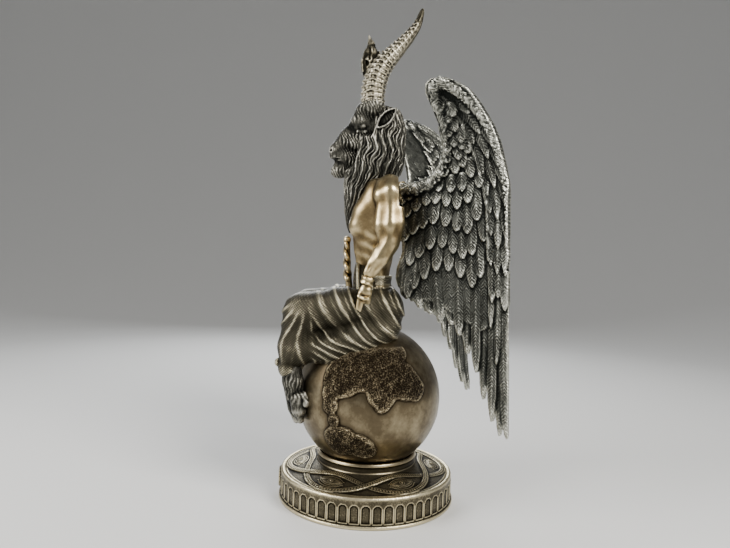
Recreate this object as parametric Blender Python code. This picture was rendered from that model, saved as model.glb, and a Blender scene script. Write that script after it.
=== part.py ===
"""A seated goat-headed figure with two wings, on a globe over a round plinth.

The origin is the centre of the plinth's underside, +Z is up, and the figure faces -Y.
The figure, the wings, the globe and the plinth are castings that are fixed to each other.
Free forms are laid out in parts, of which the whole height has PARTS_HIGH.
"""

import math

import bmesh
import bpy
import numpy as np

# Driving dimensions, in metres
HEIGHT = 0.380
PARTS_HIGH = 380
PART = HEIGHT / PARTS_HIGH
GAP = 0.0003

PLINTH_RADIUS = 0.0685
PLINTH_HEIGHT = 0.0218
FLANGE_WIDTH = 0.0013
FLANGE_HEIGHT = 0.0022
FLANGE_SLOPE = 0.0006
WALL_RADIUS = PLINTH_RADIUS - FLANGE_WIDTH
RIM_ROUND = 0.0018
RIM_WIDTH = 0.0032
GROUND_RADIUS = WALL_RADIUS - RIM_WIDTH
GROUND_SINK = 0.0008
GROUND_RISE = 0.0070
RECESS_DEPTH = 0.0013
RECESS_FLOOR = PLINTH_HEIGHT - RECESS_DEPTH
RECESS_WALL = 0.0055

GLOBE_RADIUS = 0.0564
GLOBE_LIFT = 0.0021
GLOBE_CENTRE = (0.0, 0.0, RECESS_FLOOR + GLOBE_LIFT + GLOBE_RADIUS)
LAND_HEIGHT = 0.0009
SEAT_DEPTH = 0.0015
SEAT_CLEARANCE = 0.00038

COLLAR_HEIGHT = 0.0074
COLLAR_WALL = 0.0023
COLLAR_FOOT = PLINTH_HEIGHT - GROUND_SINK + GROUND_RISE
COLLAR_TOP = COLLAR_FOOT + COLLAR_HEIGHT
COLLAR_INNER = math.sqrt((GLOBE_RADIUS + 2 * GAP) ** 2 - (GLOBE_CENTRE[2] - COLLAR_TOP) ** 2)
COLLAR_RADIUS = COLLAR_INNER + COLLAR_WALL
COLLAR_FLARE = 0.0008
COLLAR_ROUND = 0.0010
COLLAR_SINK = 0.0015
RECESS_RADIUS = COLLAR_RADIUS - RECESS_WALL

ARCH_COUNT = 52
ARCH_PIER = 0.0013
ARCH_SILL = 0.0034
ARCH_CROWN = 0.0052
ARCH_DEPTH = 0.0011
ARCH_WIDTH = 2 * math.pi * WALL_RADIUS / ARCH_COUNT - ARCH_PIER
ARCH_TOP = PLINTH_HEIGHT - ARCH_CROWN

MEDALLION_RADIUS = 0.0078
MEDALLION_RISE = 0.0008
MEDALLION_DISH = 0.0007
MEDALLION_SINK = 0.0020
MEDALLION_CORNERS = 20
MEDALLION_HEIGHT = PLINTH_HEIGHT - 0.0105

STRAP_WIDTH = 0.0042
STRAP_HEIGHT = 0.0009
KNOT_CLEARANCE = 0.0008
KNOT_RADIUS = (GROUND_RADIUS + COLLAR_RADIUS + COLLAR_FLARE) / 2
KNOT_SWING = (GROUND_RADIUS - COLLAR_RADIUS - COLLAR_FLARE - STRAP_WIDTH) / 2 - KNOT_CLEARANCE
KNOT_LIFT = 0.0003
KNOT_STEPS = 48
EYE_COUNT = 6
EYE_CORNERS = 8
EYE_LENGTH = 0.0190
EYE_WIDTH = 0.0080
EYE_HEIGHT = 0.0009
EYE_SINK = 0.0006

# The layout of the free forms: how far it leans back, and the height in it of the globe's top
LAYOUT_LEAN = math.radians(1.92)
LAYOUT_SEAT = 135.0
LAYOUT_SHIFT = (0.0, -0.2, (GLOBE_CENTRE[2] + GLOBE_RADIUS) / PART - LAYOUT_SEAT)

# Grid steps and triangle budgets of the free forms
FIGURE_CELL = 1.9
WING_CELL = 1.7
FIGURE_TRIANGLES = 2700
WING_TRIANGLES = 820
GLOBE_TRIANGLES = 820

FAR = 60.0


# Grid of distances in which the free forms are shaped
class Clay:
    def __init__(self, low, high, cell):
        self.cell = np.ones(3) * cell
        self.low = np.array(low, float)
        steps = np.ceil((np.array(high, float) - self.low) / self.cell).astype(int) + 1
        self.lines = [self.low[i] + self.cell[i] * np.arange(steps[i]) for i in range(3)]
        self.distance = np.full(steps, FAR, np.float32)

    def window(self, low, high):
        cuts = []
        for line, start, stop in zip(self.lines, low, high):
            cuts.append(slice(max(np.searchsorted(line, start) - 1, 0), np.searchsorted(line, stop) + 1))
        x = self.lines[0][cuts[0]][:, None, None]
        y = self.lines[1][cuts[1]][None, :, None]
        z = self.lines[2][cuts[2]][None, None, :]
        return tuple(cuts), (x, y, z)

    def press(self, shape, low, high, blend=1.0, cut=False):
        margin = blend + 2 * self.cell.max()
        cuts, place = self.window(np.array(low) - margin, np.array(high) + margin)
        old = self.distance[cuts]
        if old.size:
            new = shape(*place)
            self.distance[cuts] = -soft_min(-old, new, blend) if cut else soft_min(old, new, blend)

    def limb(self, knots, blend=1.0, cut=False, squeeze=1.0):
        """A chain of round tapers through (x, y, z, radius) knots, narrower in x by squeeze."""
        for start, stop in zip(knots, knots[1:]):
            a, b = np.array(start[:3], float), np.array(stop[:3], float)
            reach = max(start[3], stop[3])
            self.press(
                lambda x, y, z: taper(x, y, z, start, stop, squeeze),
                np.minimum(a, b) - reach, np.maximum(a, b) + reach, blend, cut)

    def ball(self, centre, radii, blend=1.0, cut=False):
        radii = np.ones(3) * radii
        centre = np.array(centre, float)
        self.press(
            lambda x, y, z: bulb((x - centre[0], y - centre[1], z - centre[2]), radii),
            centre - radii, centre + radii, blend, cut)

    def everywhere(self):
        return (self.lines[0][:, None, None], self.lines[1][None, :, None], self.lines[2][None, None, :])

    def like(self):
        """An empty grid of the same size."""
        return Clay(self.low, [line[-1] - self.cell[0] / 2 for line in self.lines], self.cell)

    def shows(self, length):
        """1 where a wave of this length can be held by the grid, else 0."""
        return 1.0 if length > 2.6 * self.cell.max() else 0.0


def soft_min(a, b, blend):
    h = np.maximum(blend - np.abs(a - b), 0.0) / blend
    return np.minimum(a, b) - h * h * blend / 4


def taper(x, y, z, start, stop, squeeze):
    axis = np.array(stop[:3], float) - np.array(start[:3], float)
    dx, dy, dz = x - start[0], y - start[1], z - start[2]
    t = np.clip((dx * axis[0] + dy * axis[1] + dz * axis[2]) / max(axis @ axis, 1e-9), 0, 1)
    dx, dy, dz = (dx - t * axis[0]) * squeeze, dy - t * axis[1], dz - t * axis[2]
    return np.sqrt(dx * dx + dy * dy + dz * dz) - (start[3] + t * (stop[3] - start[3]))


def bulb(offset, radii):
    k0 = np.sqrt(sum((o / r) ** 2 for o, r in zip(offset, radii)))
    k1 = np.sqrt(sum((o / r ** 2) ** 2 for o, r in zip(offset, radii)))
    return k0 * (k0 - 1.0) / np.maximum(k1, 1e-6)


def through(at, knots, values):
    """A smooth curve through the values at the knots."""
    knots, values = np.array(knots, float), np.array(values, float)
    slopes = np.gradient(values, knots)
    at = np.clip(at, knots[0], knots[-1])
    i = np.clip(np.searchsorted(knots, at) - 1, 0, len(knots) - 2)
    span = knots[i + 1] - knots[i]
    t = (at - knots[i]) / span
    return ((2 * t ** 3 - 3 * t ** 2 + 1) * values[i] + (t ** 3 - 2 * t ** 2 + t) * span * slopes[i]
            + (3 * t ** 2 - 2 * t ** 3) * values[i + 1] + (t ** 3 - t ** 2) * span * slopes[i + 1])


def stood_up(points):
    """Layout points in their final place: the layout leans back a little and is turned upright here."""
    x, y, z = np.asarray(points, float).T
    turn = LAYOUT_LEAN
    back, up = y * math.cos(turn) - z * math.sin(turn), z * math.cos(turn) + y * math.sin(turn)
    return (np.stack([x, back, up], 1) + LAYOUT_SHIFT) * PART


def laid_out(place):
    """The layout's point for a final place in metres."""
    x, y, z = np.array(place) / PART - LAYOUT_SHIFT
    turn = LAYOUT_LEAN
    return x, y * math.cos(turn) + z * math.sin(turn), z * math.cos(turn) - y * math.sin(turn)


def step(value, low, high):
    t = np.clip((value - low) / (high - low), 0, 1)
    return t * t * (3 - 2 * t)


# Torso, arms and hands
TORSO_Z = (148, 158, 166, 174, 184, 196, 208, 220, 232, 242, 250)
TORSO_MIDDLE = (12.5, 11.5, 11, 10.8, 8.8, 7.8, 7.5, 8.5, 10.5, 13, 13)
TORSO_HALF_WIDTH = (24, 22, 20, 18.5, 19.5, 22, 25, 27, 29, 24, 13)
TORSO_HALF_DEPTH = (12, 10, 8.8, 9, 13, 16, 17, 17, 15, 11, 8)
RIB_PITCH = 8.5


def torso_shape(clay):
    def shape(x, y, z):
        middle = through(z, TORSO_Z, TORSO_MIDDLE)
        a = through(z, TORSO_Z, TORSO_HALF_WIDTH)
        b = through(z, TORSO_Z, TORSO_HALF_DEPTH)
        k = np.sqrt((x / a) ** 2 + ((y - middle) / b) ** 2)
        ribs = np.cos(2 * math.pi * (z + 0.55 * y - 0.1 * np.abs(x)) / RIB_PITCH)
        where = step(z, 178, 186) * (1 - step(z, 200, 212)) * step(np.abs(x), 4, 10) * (1 - step(y, 12, 22))
        spine = np.exp(-(x / 4.0) ** 2) * step(y, 10, 20)
        return (k - 1) * np.minimum(a, b) - 0.9 * clay.shows(RIB_PITCH) * ribs * where + 1.6 * spine
    return shape


def add_torso(clay):
    low = (-30, -10, TORSO_Z[0])
    high = (30, 28, TORSO_Z[-1])
    trunk = torso_shape(clay)

    def cut_trunk(x, y, z):
        return np.maximum(trunk(x, y, z), np.maximum(TORSO_Z[0] - z, z - TORSO_Z[-1]))
    clay.press(cut_trunk, low, high, 3)
    clay.limb([(0, 14, 238, 12), (0, 9, 262, 12), (0, 8, 276, 11)], 6)
    for side in (-1, 1):
        clay.limb([(side * 20, 8, 236, 8), (side * 15, 0, 222, 8.5), (side * 13.5, -4, 211.5, 8.5)], 3)
        clay.limb([(side * 4, -4, 243, 3), (side * 24, 10, 244, 3)], 4)
        clay.limb([(side * 26, 20, 234, 9), (side * 20, 20, 205, 8)], 5)
        clay.limb([(side * 8, -4, 196, 4.5), (side * 8, -2.5, 180, 4)], 3)
    clay.limb([(0, -8.5, 196, 1.0), (0, -6.2, 176, 1.0)], 1.5, cut=True)


def add_left_arm(clay):
    clay.ball((29, 18.5, 238), (9, 9.5, 10), 3)
    clay.limb([(30.5, 13.5, 242, 4.4), (34.5, 11.6, 233, 4.8), (37, 14.5, 223, 3.0)], 2.4)
    clay.limb([(31, 19.0, 244, 5.0), (37, 18.8, 236, 5.6), (40, 18.6, 223, 2.8)], 2.4)
    clay.limb([(30, 24.5, 242, 4.4), (35, 25.0, 233, 4.8), (38, 22.5, 222, 2.8)], 2.4)
    clay.limb([(33, 18.5, 230, 7.0), (36, 18.5, 212, 7.0), (38, 19.0, 198, 6.0)], 2)
    clay.limb([(35.5, 12.0, 224, 3.8), (37.6, 11.6, 211, 4.9), (38.6, 13.0, 200, 3.4)], 1.8)
    clay.limb([(37.5, 25.0, 225, 3.6), (38.6, 25.0, 212, 4.2), (38.6, 23.0, 201, 3.2)], 1.8)
    clay.limb([(40.2, 18.8, 222, 3.4), (41.8, 18.4, 211, 4.1), (41.4, 17.6, 201, 2.8)], 1.8)
    clay.limb([(38, 18.4, 197, 6.2), (38.5, 12.5, 188.5, 6.3), (38, 4.6, 176.5, 4.0), (38, 1.6, 170, 3.4)], 2)
    clay.limb([(42.0, 17.0, 199, 2.6), (43.4, 10, 187, 2.4), (41.0, 3.2, 176, 1.5)], 1.8)
    clay.limb([(40.0, 20.5, 195, 2.4), (42.4, 15.0, 186, 2.2), (40.6, 7.6, 177, 1.5)], 1.8)
    clay.limb([(39.5, 9, 194, 2.6), (40.5, 3.4, 184, 2.0), (40, 0.2, 176, 1.3)], 1.8)
    add_bracelet(clay, (38, 1.7, 170.2), (0.0, 0.30, 0.95))
    add_hand(clay, (39, 0.6, 162.6), (0.03, -0.22, -1.0), (0.25, 1.0, -0.2))


def add_right_arm(clay):
    clay.ball((-31.5, 17.5, 235), (10, 10.5, 12.5), 2.5)
    clay.limb([(-33, 16, 231, 8), (-42, 3, 221, 8.2), (-48, -7.5, 213.5, 6.4)], 2.5)
    clay.limb([(-36, 8, 231, 4.6), (-43, -1.5, 225, 5.4), (-47.5, -7, 219.5, 4)], 1.4)
    clay.limb([(-48, -8, 213.5, 6.4), (-49.5, -11, 228, 6.6), (-50, -12.6, 247, 4.6),
               (-50, -12.8, 258, 3.7)], 2)
    clay.limb([(-53.5, -10, 218, 2.4), (-54.2, -12.4, 232, 2.2), (-52, -13.4, 248, 1.4)], 0.9)
    add_bracelet(clay, (-50, -12.8, 252), (0.0, 0.0, 1.0))
    add_hand(clay, (-50, -12.4, 263), (0.0, 0.12, 1.0), (1.0, 0.1, 0.0))


BRACELET_RADIUS = 4.7
BRACELET_HALF = 2.6
BRACELET_EDGE = 0.5


def add_bracelet(clay, centre, along):
    """A band round a wrist, with a raised edge at its top and its foot."""
    centre, along = np.array(centre, float), np.array(along, float)
    along /= np.linalg.norm(along)

    def band(x, y, z):
        d = (x - centre[0], y - centre[1], z - centre[2])
        up = sum(o * v for o, v in zip(d, along))
        away = np.sqrt(np.maximum(sum(o * o for o in d) - up * up, 0))
        edge = BRACELET_EDGE * (np.abs(up) > BRACELET_HALF - 1.2)
        return np.maximum(away - BRACELET_RADIUS - edge, np.abs(up) - BRACELET_HALF)
    reach = BRACELET_RADIUS + BRACELET_HALF
    clay.press(band, centre - reach, centre + reach, 0.3)


FINGER_SPREAD = 2.35
FINGER_REACH = 14.5
FINGER_RADIUS = 1.45


def add_hand(clay, palm, forward, across):
    """A hand with two fingers stretched out and two closed, with the thumb over them."""
    palm, forward, across = (np.array(v, float) for v in (palm, forward, across))
    forward /= np.linalg.norm(forward)
    across /= np.linalg.norm(across)
    inward = np.cross(across, forward)
    spread = 3.5 * np.abs(across) + 4.9 * np.abs(forward) + 2.2 * np.abs(inward)
    clay.ball(palm, spread, 1.5)
    for number in range(4):
        root = palm + forward * 4.2 + across * FINGER_SPREAD * (number - 1.5)
        if number < 2:
            tip = root + forward * (FINGER_REACH - 5 + number)
            clay.limb([(*root, FINGER_RADIUS + 0.2), (*tip, FINGER_RADIUS - 0.3)], 0.6)
        else:
            bend = root + forward * 3.4
            back = root - inward * 3.0 + forward * 0.6
            clay.limb([(*root, FINGER_RADIUS + 0.2), (*bend, FINGER_RADIUS), (*back, FINGER_RADIUS)], 0.6)
    thumb = palm - across * 3.6
    clay.limb([(*thumb, 1.7), (*(thumb + forward * 4.5 - inward * 2.2), 1.5),
               (*(palm + forward * 5.6 - inward * 3.6 + across * 1.2), 1.3)], 0.6)


# Trousers, belt, legs and hooves
FOLD_LEVELS = (112, 120, 125, 132, 147, 165)
FOLD_DRIFT = (46, 30, 19, 11, 0, -8)
FOLD_PITCH = 11.3
KNEE_FAN = (-44.0, 160.0)
KNEE_FOLDS = 20
FOLD_DEPTH = 1.3
FOLD_CENTRE = 0.4
HEM_Z = 102.0


def ridge(phase):
    """1 along each fold's crest, falling quickly to 0 between the crests."""
    return (1 - np.abs(np.sin(math.pi * phase))) ** 1.5


def folds(x, y, z):
    """Pleats that sweep from the lap down and back over the seat, and a fan of them below the knee."""
    sweep = (y - through(z, FOLD_LEVELS, FOLD_DRIFT)) / FOLD_PITCH + 0.12 * np.sin(0.19 * y + 0.05 * z)
    thigh = ridge(sweep + 0.46) + 0.35 * ridge(2.3 * sweep + 0.2)
    knee_angle = np.arctan2(y - KNEE_FAN[0], KNEE_FAN[1] - z) + 0.06 * np.sin(0.16 * z)
    knee = ridge(KNEE_FOLDS * knee_angle / (2 * math.pi) + 0.94 + 0.01 * np.abs(x))
    share = step(y, -44, -32)
    below = step(np.hypot(y - KNEE_FAN[0], z - KNEE_FAN[1]), 10, 24)
    return (thigh - FOLD_CENTRE) * share + (knee - FOLD_CENTRE) * (1 - share) * below


def add_trousers(clay):
    cloth = clay.like()
    cloth.ball((0, 14.5, 149), (30, 15.5, 17), 4)
    for side in (-1, 1):
        cloth.limb([(side * 17, 14, 147, 16), (side * 22, -18, 148.8, 15.4),
                    (side * 25, -46, 145.6, 15.2)], 5)
        cloth.limb([(side * 25, -46, 145, 15.2), (side * 25, -53.5, 120, 12.2),
                    (side * 25, -57.0, 105, 7.6)], 4)
        cloth.limb([(side * 28, -47, 118, 9.5), (side * 29, -25, 119, 11), (side * 28, -3, 126, 12),
                    (side * 23, 15, 134, 12)], 6)
        cloth.limb([(side * 20, -42, 124, 10), (side * 18, -18, 134, 11)], 6)
    x, y, z = cloth.everywhere()
    cloth.distance -= (FOLD_DEPTH * clay.shows(6) * folds(x, y, z)).astype(np.float32)
    cloth.distance = -soft_min(-cloth.distance, z - HEM_Z, 1.0)
    clay.distance = soft_min(clay.distance, cloth.distance, 0.8)
    for side in (-1, 1):
        clay.limb([(side * 25, -57.2, 105.4, 8.4), (side * 25, -57.2, 104.2, 8.4)], 0.6)
        clay.ball((side * 25, -66.0, 108.5), (2.2, 2.2, 3.2), 0.8)
    for level, swell in ((163.0, 1.6), (167.5, 1.0), (171.5, 1.6)):
        low, high = (-27, -8, level - 3), (27, 28, level + 3)
        clay.press(lambda x, y, z: belt(x, y, z, level, swell), low, high, 0.6)


def belt(x, y, z, level, swell):
    a = through(level, TORSO_Z, TORSO_HALF_WIDTH) + swell
    b = through(level, TORSO_Z, TORSO_HALF_DEPTH) + swell
    middle = through(level, TORSO_Z, TORSO_MIDDLE)
    k = np.sqrt((x / a) ** 2 + ((y - middle) / b) ** 2)
    return np.maximum((k - 1) * b, np.abs(z - level) - 2.0)


def add_hooves(clay):
    for side in (-1, 1):
        clay.limb([(side * 25, -55.6, 106, 7.6), (side * 26, -54.2, 94, 7.8),
                   (side * 26.5, -52.8, 85, 7.3)], 1.5)
        clay.limb([(side * 31, -46, 84, 3.6), (side * 33, -44, 79, 3.2)], 1.5)
        clay.limb([(side * 30, -50.0, 82, 6.2), (side * 30.5, -49.2, 74, 5.8),
                   (side * 29.6, -48.4, 66.0, 3.0)], 0.4)
        clay.limb([(side * 23.2, -54.4, 82, 5.8), (side * 22.8, -53.4, 74, 5.4),
                   (side * 23.4, -51.9, 64.3, 2.7)], 0.4)


# Goat head, hair, horns, ears and flame
HAIR_Z = (207, 211, 218, 226, 235, 245, 256, 268, 281, 293, 303, 308)
HAIR_MIDDLE = (-11.5, -11, -9.6, -7.6, -3.5, 3.0, 7.0, 9.2, 10.8, 11.8, 11.4, 11.0)
HAIR_HALF_WIDTH = (1.0, 4, 8, 12, 16, 19, 20.5, 20.5, 19, 16.5, 12, 7)
HAIR_HALF_DEPTH = (1.0, 3, 5.6, 8.2, 12.5, 19.5, 22.0, 22.2, 21, 19.0, 15.5, 10)
LOCK_WIDTH = 6.4
LOCK_WAVE = 22.0


def hair_shape(clay):
    def shape(x, y, z):
        middle = through(z, HAIR_Z, HAIR_MIDDLE)
        a = through(z, HAIR_Z, HAIR_HALF_WIDTH)
        b = through(z, HAIR_Z, HAIR_HALF_DEPTH)
        round_about = np.arctan2(x / a, (middle - y) / b)
        along = 19 * round_about + 2.4 * np.sin(2 * math.pi * z / LOCK_WAVE + 2.2 * np.abs(round_about))
        locks = 1 - np.abs(np.sin(math.pi * along / LOCK_WIDTH)) * 1.6
        strands = np.sin(2 * math.pi * along / (LOCK_WIDTH / 2.5) + 0.12 * z)
        k = np.sqrt((x / a) ** 2 + ((y - middle) / b) ** 2)
        depth = np.clip(np.minimum(a, b) / 14, 0.25, 1)
        carved = 1.25 * clay.shows(LOCK_WIDTH) * locks + 0.4 * clay.shows(LOCK_WIDTH / 2.5) * strands
        return (k - 1) * np.minimum(a, b) - carved * depth
    return shape


def add_hair(clay):
    strands = hair_shape(clay)

    def mane(x, y, z):
        face = taper(x, y, z, (0, -4, 288, 15), (0, -26, 262, 15), 0.8)
        ends = np.maximum(HAIR_Z[0] - z, z - HAIR_Z[-1])
        return -soft_min(-np.maximum(strands(x, y, z), ends), face, 2.0)
    clay.press(mane, (-22, -18, HAIR_Z[0]), (22, 32, HAIR_Z[-1]), 1.2)


def add_head(clay):
    clay.ball((0, 7.8, 291.0), (14.5, 19, 16), 3)
    clay.limb([(0, 3, 285, 13.5), (0, -9.5, 280.6, 10.6), (0, -20.6, 271.2, 7.8)], 3, squeeze=1.18)
    clay.limb([(0, 4, 268, 10), (0, -12, 261.5, 6.8), (0, -20.8, 255.6, 5.6)], 2, squeeze=1.15)
    for side in (-1, 1):
        clay.limb([(side * 11, 2, 293.5, 3.4), (side * 8.5, -6, 293.5, 3.6), (side * 4, -9.5, 291, 3)], 2)
        clay.ball((side * 8.8, -3, 277.0), (4.4, 9.0, 6.4), 4.0)
        clay.ball((side * 13.2, -1.6, 288.0), (2.4, 3.8, 2.4), 1.2, cut=True)
        clay.ball((side * 11.6, -1.0, 287.6), (1.6, 2.1, 1.6), 0.3)
        clay.limb([(side * 3.4, -27.5, 274.6, 1.3), (side * 5.8, -25, 276.2, 1.0)], 0.5, cut=True)
        clay.limb([(side * 7.5, -14, 266.4, 0.9), (side * 3.5, -25, 264.2, 0.9),
                   (0, -29, 263.6, 0.9)], 0.6, cut=True)
        clay.limb([(side * 6.5, -1.5, 293, 8.6), (side * 6.8, 0.5, 300, 8.2)], 3)
        add_ear(clay, side)
    clay.limb([(0, -21, 262, 3.2), (0, -22.5, 255.5, 4.6)], 1.5)


EAR_ROOT = (17.0, 9.0, 285.6)
EAR_TIP = (24.0, 24.0, 299.6)
EAR_HALF_WIDTH = 4.6
EAR_HALF_THICKNESS = 2.2
EAR_RIM = 1.3
EAR_FLOOR = -0.3


def add_ear(clay, side):
    """A leaf-shaped ear, pointed at both ends, with a raised rim round its hollow, open to the side."""
    root = np.array(EAR_ROOT) * (side, 1, 1)
    tip = np.array(EAR_TIP) * (side, 1, 1)
    half = np.linalg.norm(tip - root) / 2
    along = (tip - root) / (2 * half)
    across = np.cross(along, (side, 0, 0))
    across /= np.linalg.norm(across)
    outward = np.cross(across, along)
    centre = (root + tip) / 2
    arc = (half ** 2 + EAR_HALF_WIDTH ** 2) / (2 * EAR_HALF_WIDTH)

    def turned(x, y, z):
        d = (x - centre[0], y - centre[1], z - centre[2])
        out, wide, long = (sum(o * v for o, v in zip(d, axis)) for axis in (outward, across, along))
        edge = np.hypot(np.abs(wide) + arc - EAR_HALF_WIDTH, long) - arc
        return out, edge

    def leaf(x, y, z):
        out, edge = turned(x, y, z)
        return np.maximum(edge, np.abs(out) - EAR_HALF_THICKNESS)

    def hollow(x, y, z):
        out, edge = turned(x, y, z)
        return np.maximum(edge + EAR_RIM, EAR_FLOOR - out)
    low, high = centre - half, centre + half
    clay.press(leaf, low, high, 0.8)
    clay.press(hollow, low, high, 0.4, cut=True)


HORN_LINE = ((10.5, 6.2, 301), (10.8, 6.3, 315), (10.8, 9.0, 326), (10.8, 14.2, 335.6), (11, 21.4, 343.6),
             (11.6, 31.6, 354.4), (12.6, 39.6, 364.5), (14, 44.4, 377.0))
HORN_RADII = (9.2, 9.3, 9.0, 8.0, 6.8, 5.0, 3.5, 1.5)
RIGHT_HORN_SHIFT = (-2.4, 2.2)
RING_PITCH = 3.9
RING_DEPTH = 0.75


def horn_knots(side, steps):
    """Knots along the smooth horn line, evenly spread by length, with each knot's length from the root."""
    coarse = np.linspace(0, len(HORN_LINE) - 1, 400)
    index = range(len(HORN_LINE))
    line = np.stack([through(coarse, index, [p[i] for p in HORN_LINE]) for i in range(3)], 1)
    radius = through(coarse, index, HORN_RADII)
    lengths = np.concatenate([[0], np.cumsum(np.linalg.norm(np.diff(line, axis=0), axis=1))])
    even = np.linspace(0, lengths[-1], steps)
    spots = [np.interp(even, lengths, line[:, i]) for i in range(3)]
    if side < 0:
        raised = step(even / lengths[-1], 0.15, 0.6)
        spots[1] = spots[1] + RIGHT_HORN_SHIFT[0] * raised
        spots[2] = spots[2] + RIGHT_HORN_SHIFT[1] * raised * (1 - step(even / lengths[-1], 0.7, 1.0))
    return np.stack([side * spots[0], spots[1], spots[2], np.interp(even, lengths, radius)], 1), even


def add_horns(clay):
    fine = clay.shows(RING_PITCH * 1.4)
    for side in (-1, 1):
        knots, lengths = horn_knots(side, 110 if fine else 26)
        rings = np.abs(np.cos(math.pi * lengths ** 0.985 / RING_PITCH))
        knots[:, 3] *= 1 - RING_DEPTH / 9 * fine * (rings < 0.42)
        clay.limb([tuple(knot) for knot in knots], 0.35, squeeze=1.12)


# Each slot of the flame, as its place from front to back, its foot and its tip
FLAME_SLOTS = ((1.0, 335, 342), (3.4, 341, 353), (6.4, 341, 352), (10.6, 343, 348))


def add_flame(clay):
    """A torch's stem and a bud of pointed tongues of fire, with slots between them."""
    clay.limb([(0, 5, 302, 4.5), (0, 4.2, 318, 3.0), (0, 3.6, 327, 3.2), (0, 3.6, 331, 5.0)], 1.5)
    clay.limb([(0, 3.4, 331, 5.0), (0, 3.4, 339, 6.4), (0, 4.6, 348, 5.4), (0, 5.0, 355, 2.8),
               (0, 3.4, 361.5, 0.7)], 1.5)
    clay.limb([(0, 7.0, 338, 4.6), (0, 9.8, 344, 3.2), (0, 11.4, 349.5, 0.8)], 1.0)
    for side in (-1, 1):
        clay.limb([(side * 3.4, 3.2, 332, 3.4), (side * 5.0, 3.4, 341, 3.0),
                   (side * 3.0, 5.0, 351.5, 0.7)], 0.8)
        clay.limb([(side * 3, -0.8, 334, 2.0), (side * 3.4, -1.2, 341, 1.8), (side * 2.2, 0.8, 350, 0.6)], 0.6)
        for slot, low, high in FLAME_SLOTS:
            clay.limb([(side * 8.4, slot, low, 1.0), (side * 7.0, slot + 0.7, (low + high) / 2, 1.5),
                       (side * 4.6, slot + 0.3, high, 0.5)], 0.6, cut=True)


# Scaled belly plate and the staff with two serpents
PLATE_CENTRE = (0, -1.6, 165.0)
PLATE_RADIUS = 21.0
STAFF_FOOT = (0, -12.0, 158)
STAFF_TOP = (0, -13.9, 199)


def add_belly_plate(clay):
    cx, cy, cz = PLATE_CENTRE

    def plate(x, y, z):
        r = np.hypot(x - cx, z - cz)
        bowl = cy - 7.5 * np.sqrt(np.maximum(1 - (r / (PLATE_RADIUS + 6)) ** 2, 0))
        return np.maximum(np.maximum(r - PLATE_RADIUS, bowl - y), y - (cy + 8))

    def rim(x, y, z):
        r = np.hypot(x - cx, z - cz)
        return np.hypot(r - PLATE_RADIUS + 0.6, y - (cy - 3.6)) - 1.5
    low, high = (-24, -12, 156), (24, 8, 188)
    clay.press(plate, low, high, 1.0)
    clay.press(lambda x, y, z: np.maximum(rim(x, y, z), 158 - z), low, high, 0.5)


def add_staff(clay):
    clay.limb([(*STAFF_FOOT, 3.0), (0, -13.4, 176, 2.4), (*STAFF_TOP, 2.2)], 0.6)
    clay.ball((0, -14.0, 201.5), (3.0, 3.0, 3.0), 0.4)
    for turn in (0.0, math.pi):
        knots = []
        for level in np.linspace(0, 1, 30):
            angle = turn + 3.1 * math.pi * level
            reach = 3.6 - 1.6 * level
            knots.append((reach * math.cos(angle) * 1.5, -13.7 - level - reach * 0.5 * math.sin(angle),
                          170 + 29 * level, 1.9 - 0.5 * level))
        clay.limb(knots, 0.4)


def shape_figure(cell):
    clay = Clay((-63, -73, 60), (63, 48, 381), cell)
    add_torso(clay)
    add_trousers(clay)
    add_hooves(clay)
    add_left_arm(clay)
    add_right_arm(clay)
    add_belly_plate(clay)
    add_staff(clay)
    add_head(clay)
    add_hair(clay)
    add_horns(clay)
    add_flame(clay)
    add_wing_bosses(clay)
    clear_globe(clay)
    return clay


# Wings, shaped flat as (s, h, t) and then bent: s runs outwards, h upwards, t off the front face
WING_ROOT = (12.0, 30.0, 240.0)
SPREAD = math.radians(45.2)
RIGHT_SWAY = ((-176, 3), (-145, -3), (-115, -6), (-70, -1), (-30, 0), (10, 0), (40, -6), (72, -13))
RIGHT_WEB = ((1, 3), (9, 12), (13, 26), (18, 42), (27, 56), (38, 62), (44, 50), (42, 30), (36, 12), (20, 4))
BOSS_END = 0.35
INNER_EDGE = ((8, -86), (3, -81), (-4, -76), (-6.5, -69), (-5, -60), (1, -48), (1, -24), (0.9, -10),
              (0.9, 4), (15, 4.5), (28, 7.5), (37, 14), (41.5, 25), (43, 38), (42, 50), (40, 60),
              (42, 66), (47, 69.3))
OUTER_EDGE = ((52.5, 70.0), (58.5, 68.4), (64, 64.6), (70, 60), (73.5, 53), (77, 46), (81.3, 37.5),
              (85, 27), (88, 16), (90.6, 4), (93.5, -8), (95.2, -25), (94.4, -44), (91.4, -60), (88, -72),
              (84, -96), (70, -104), (50, -96), (30, -86), (12, -84))
ARM_LINE = ((0.5, 0, 6.0), (14, -0.5, 5.4), (26, 2, 5.0), (36, 9, 4.6), (44.5, 22, 3.4), (47.5, 38, 3.0),
            (46.5, 52, 3.5), (48.5, 62.5, 4.4), (54, 65, 4.4), (61, 60.5, 4.0), (68, 53, 3.4), (75, 42, 3.0),
            (82, 26, 2.6), (88, 5, 2.2), (92.0, -20, 2.0), (91.6, -45, 1.6))
SHEET_HALF = 1.5
FLIGHT_COUNT = 17
FLIGHT_TIPS = ((6, -87), (10, -92), (16, -95), (26, -97.5), (36, -100), (45, -104), (51, -111), (56, -121),
               (61, -131), (65.5, -142), (71, -154), (78.5, -167), (89.6, -176.5))
FLIGHT_ROOTS = ((4, -42), (9, -42), (16, -44), (24, -44), (34, -42), (44, -38), (52, -34), (60, -28),
                (68, -22), (76, -16), (83, -16), (86.5, -26), (85.8, -50))
COVERT_ROWS = ((0.30, 15, 8.0, 26.0), (0.56, 14, 7.4, 22.0), (0.78, 13, 6.6, 19.0))


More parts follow.
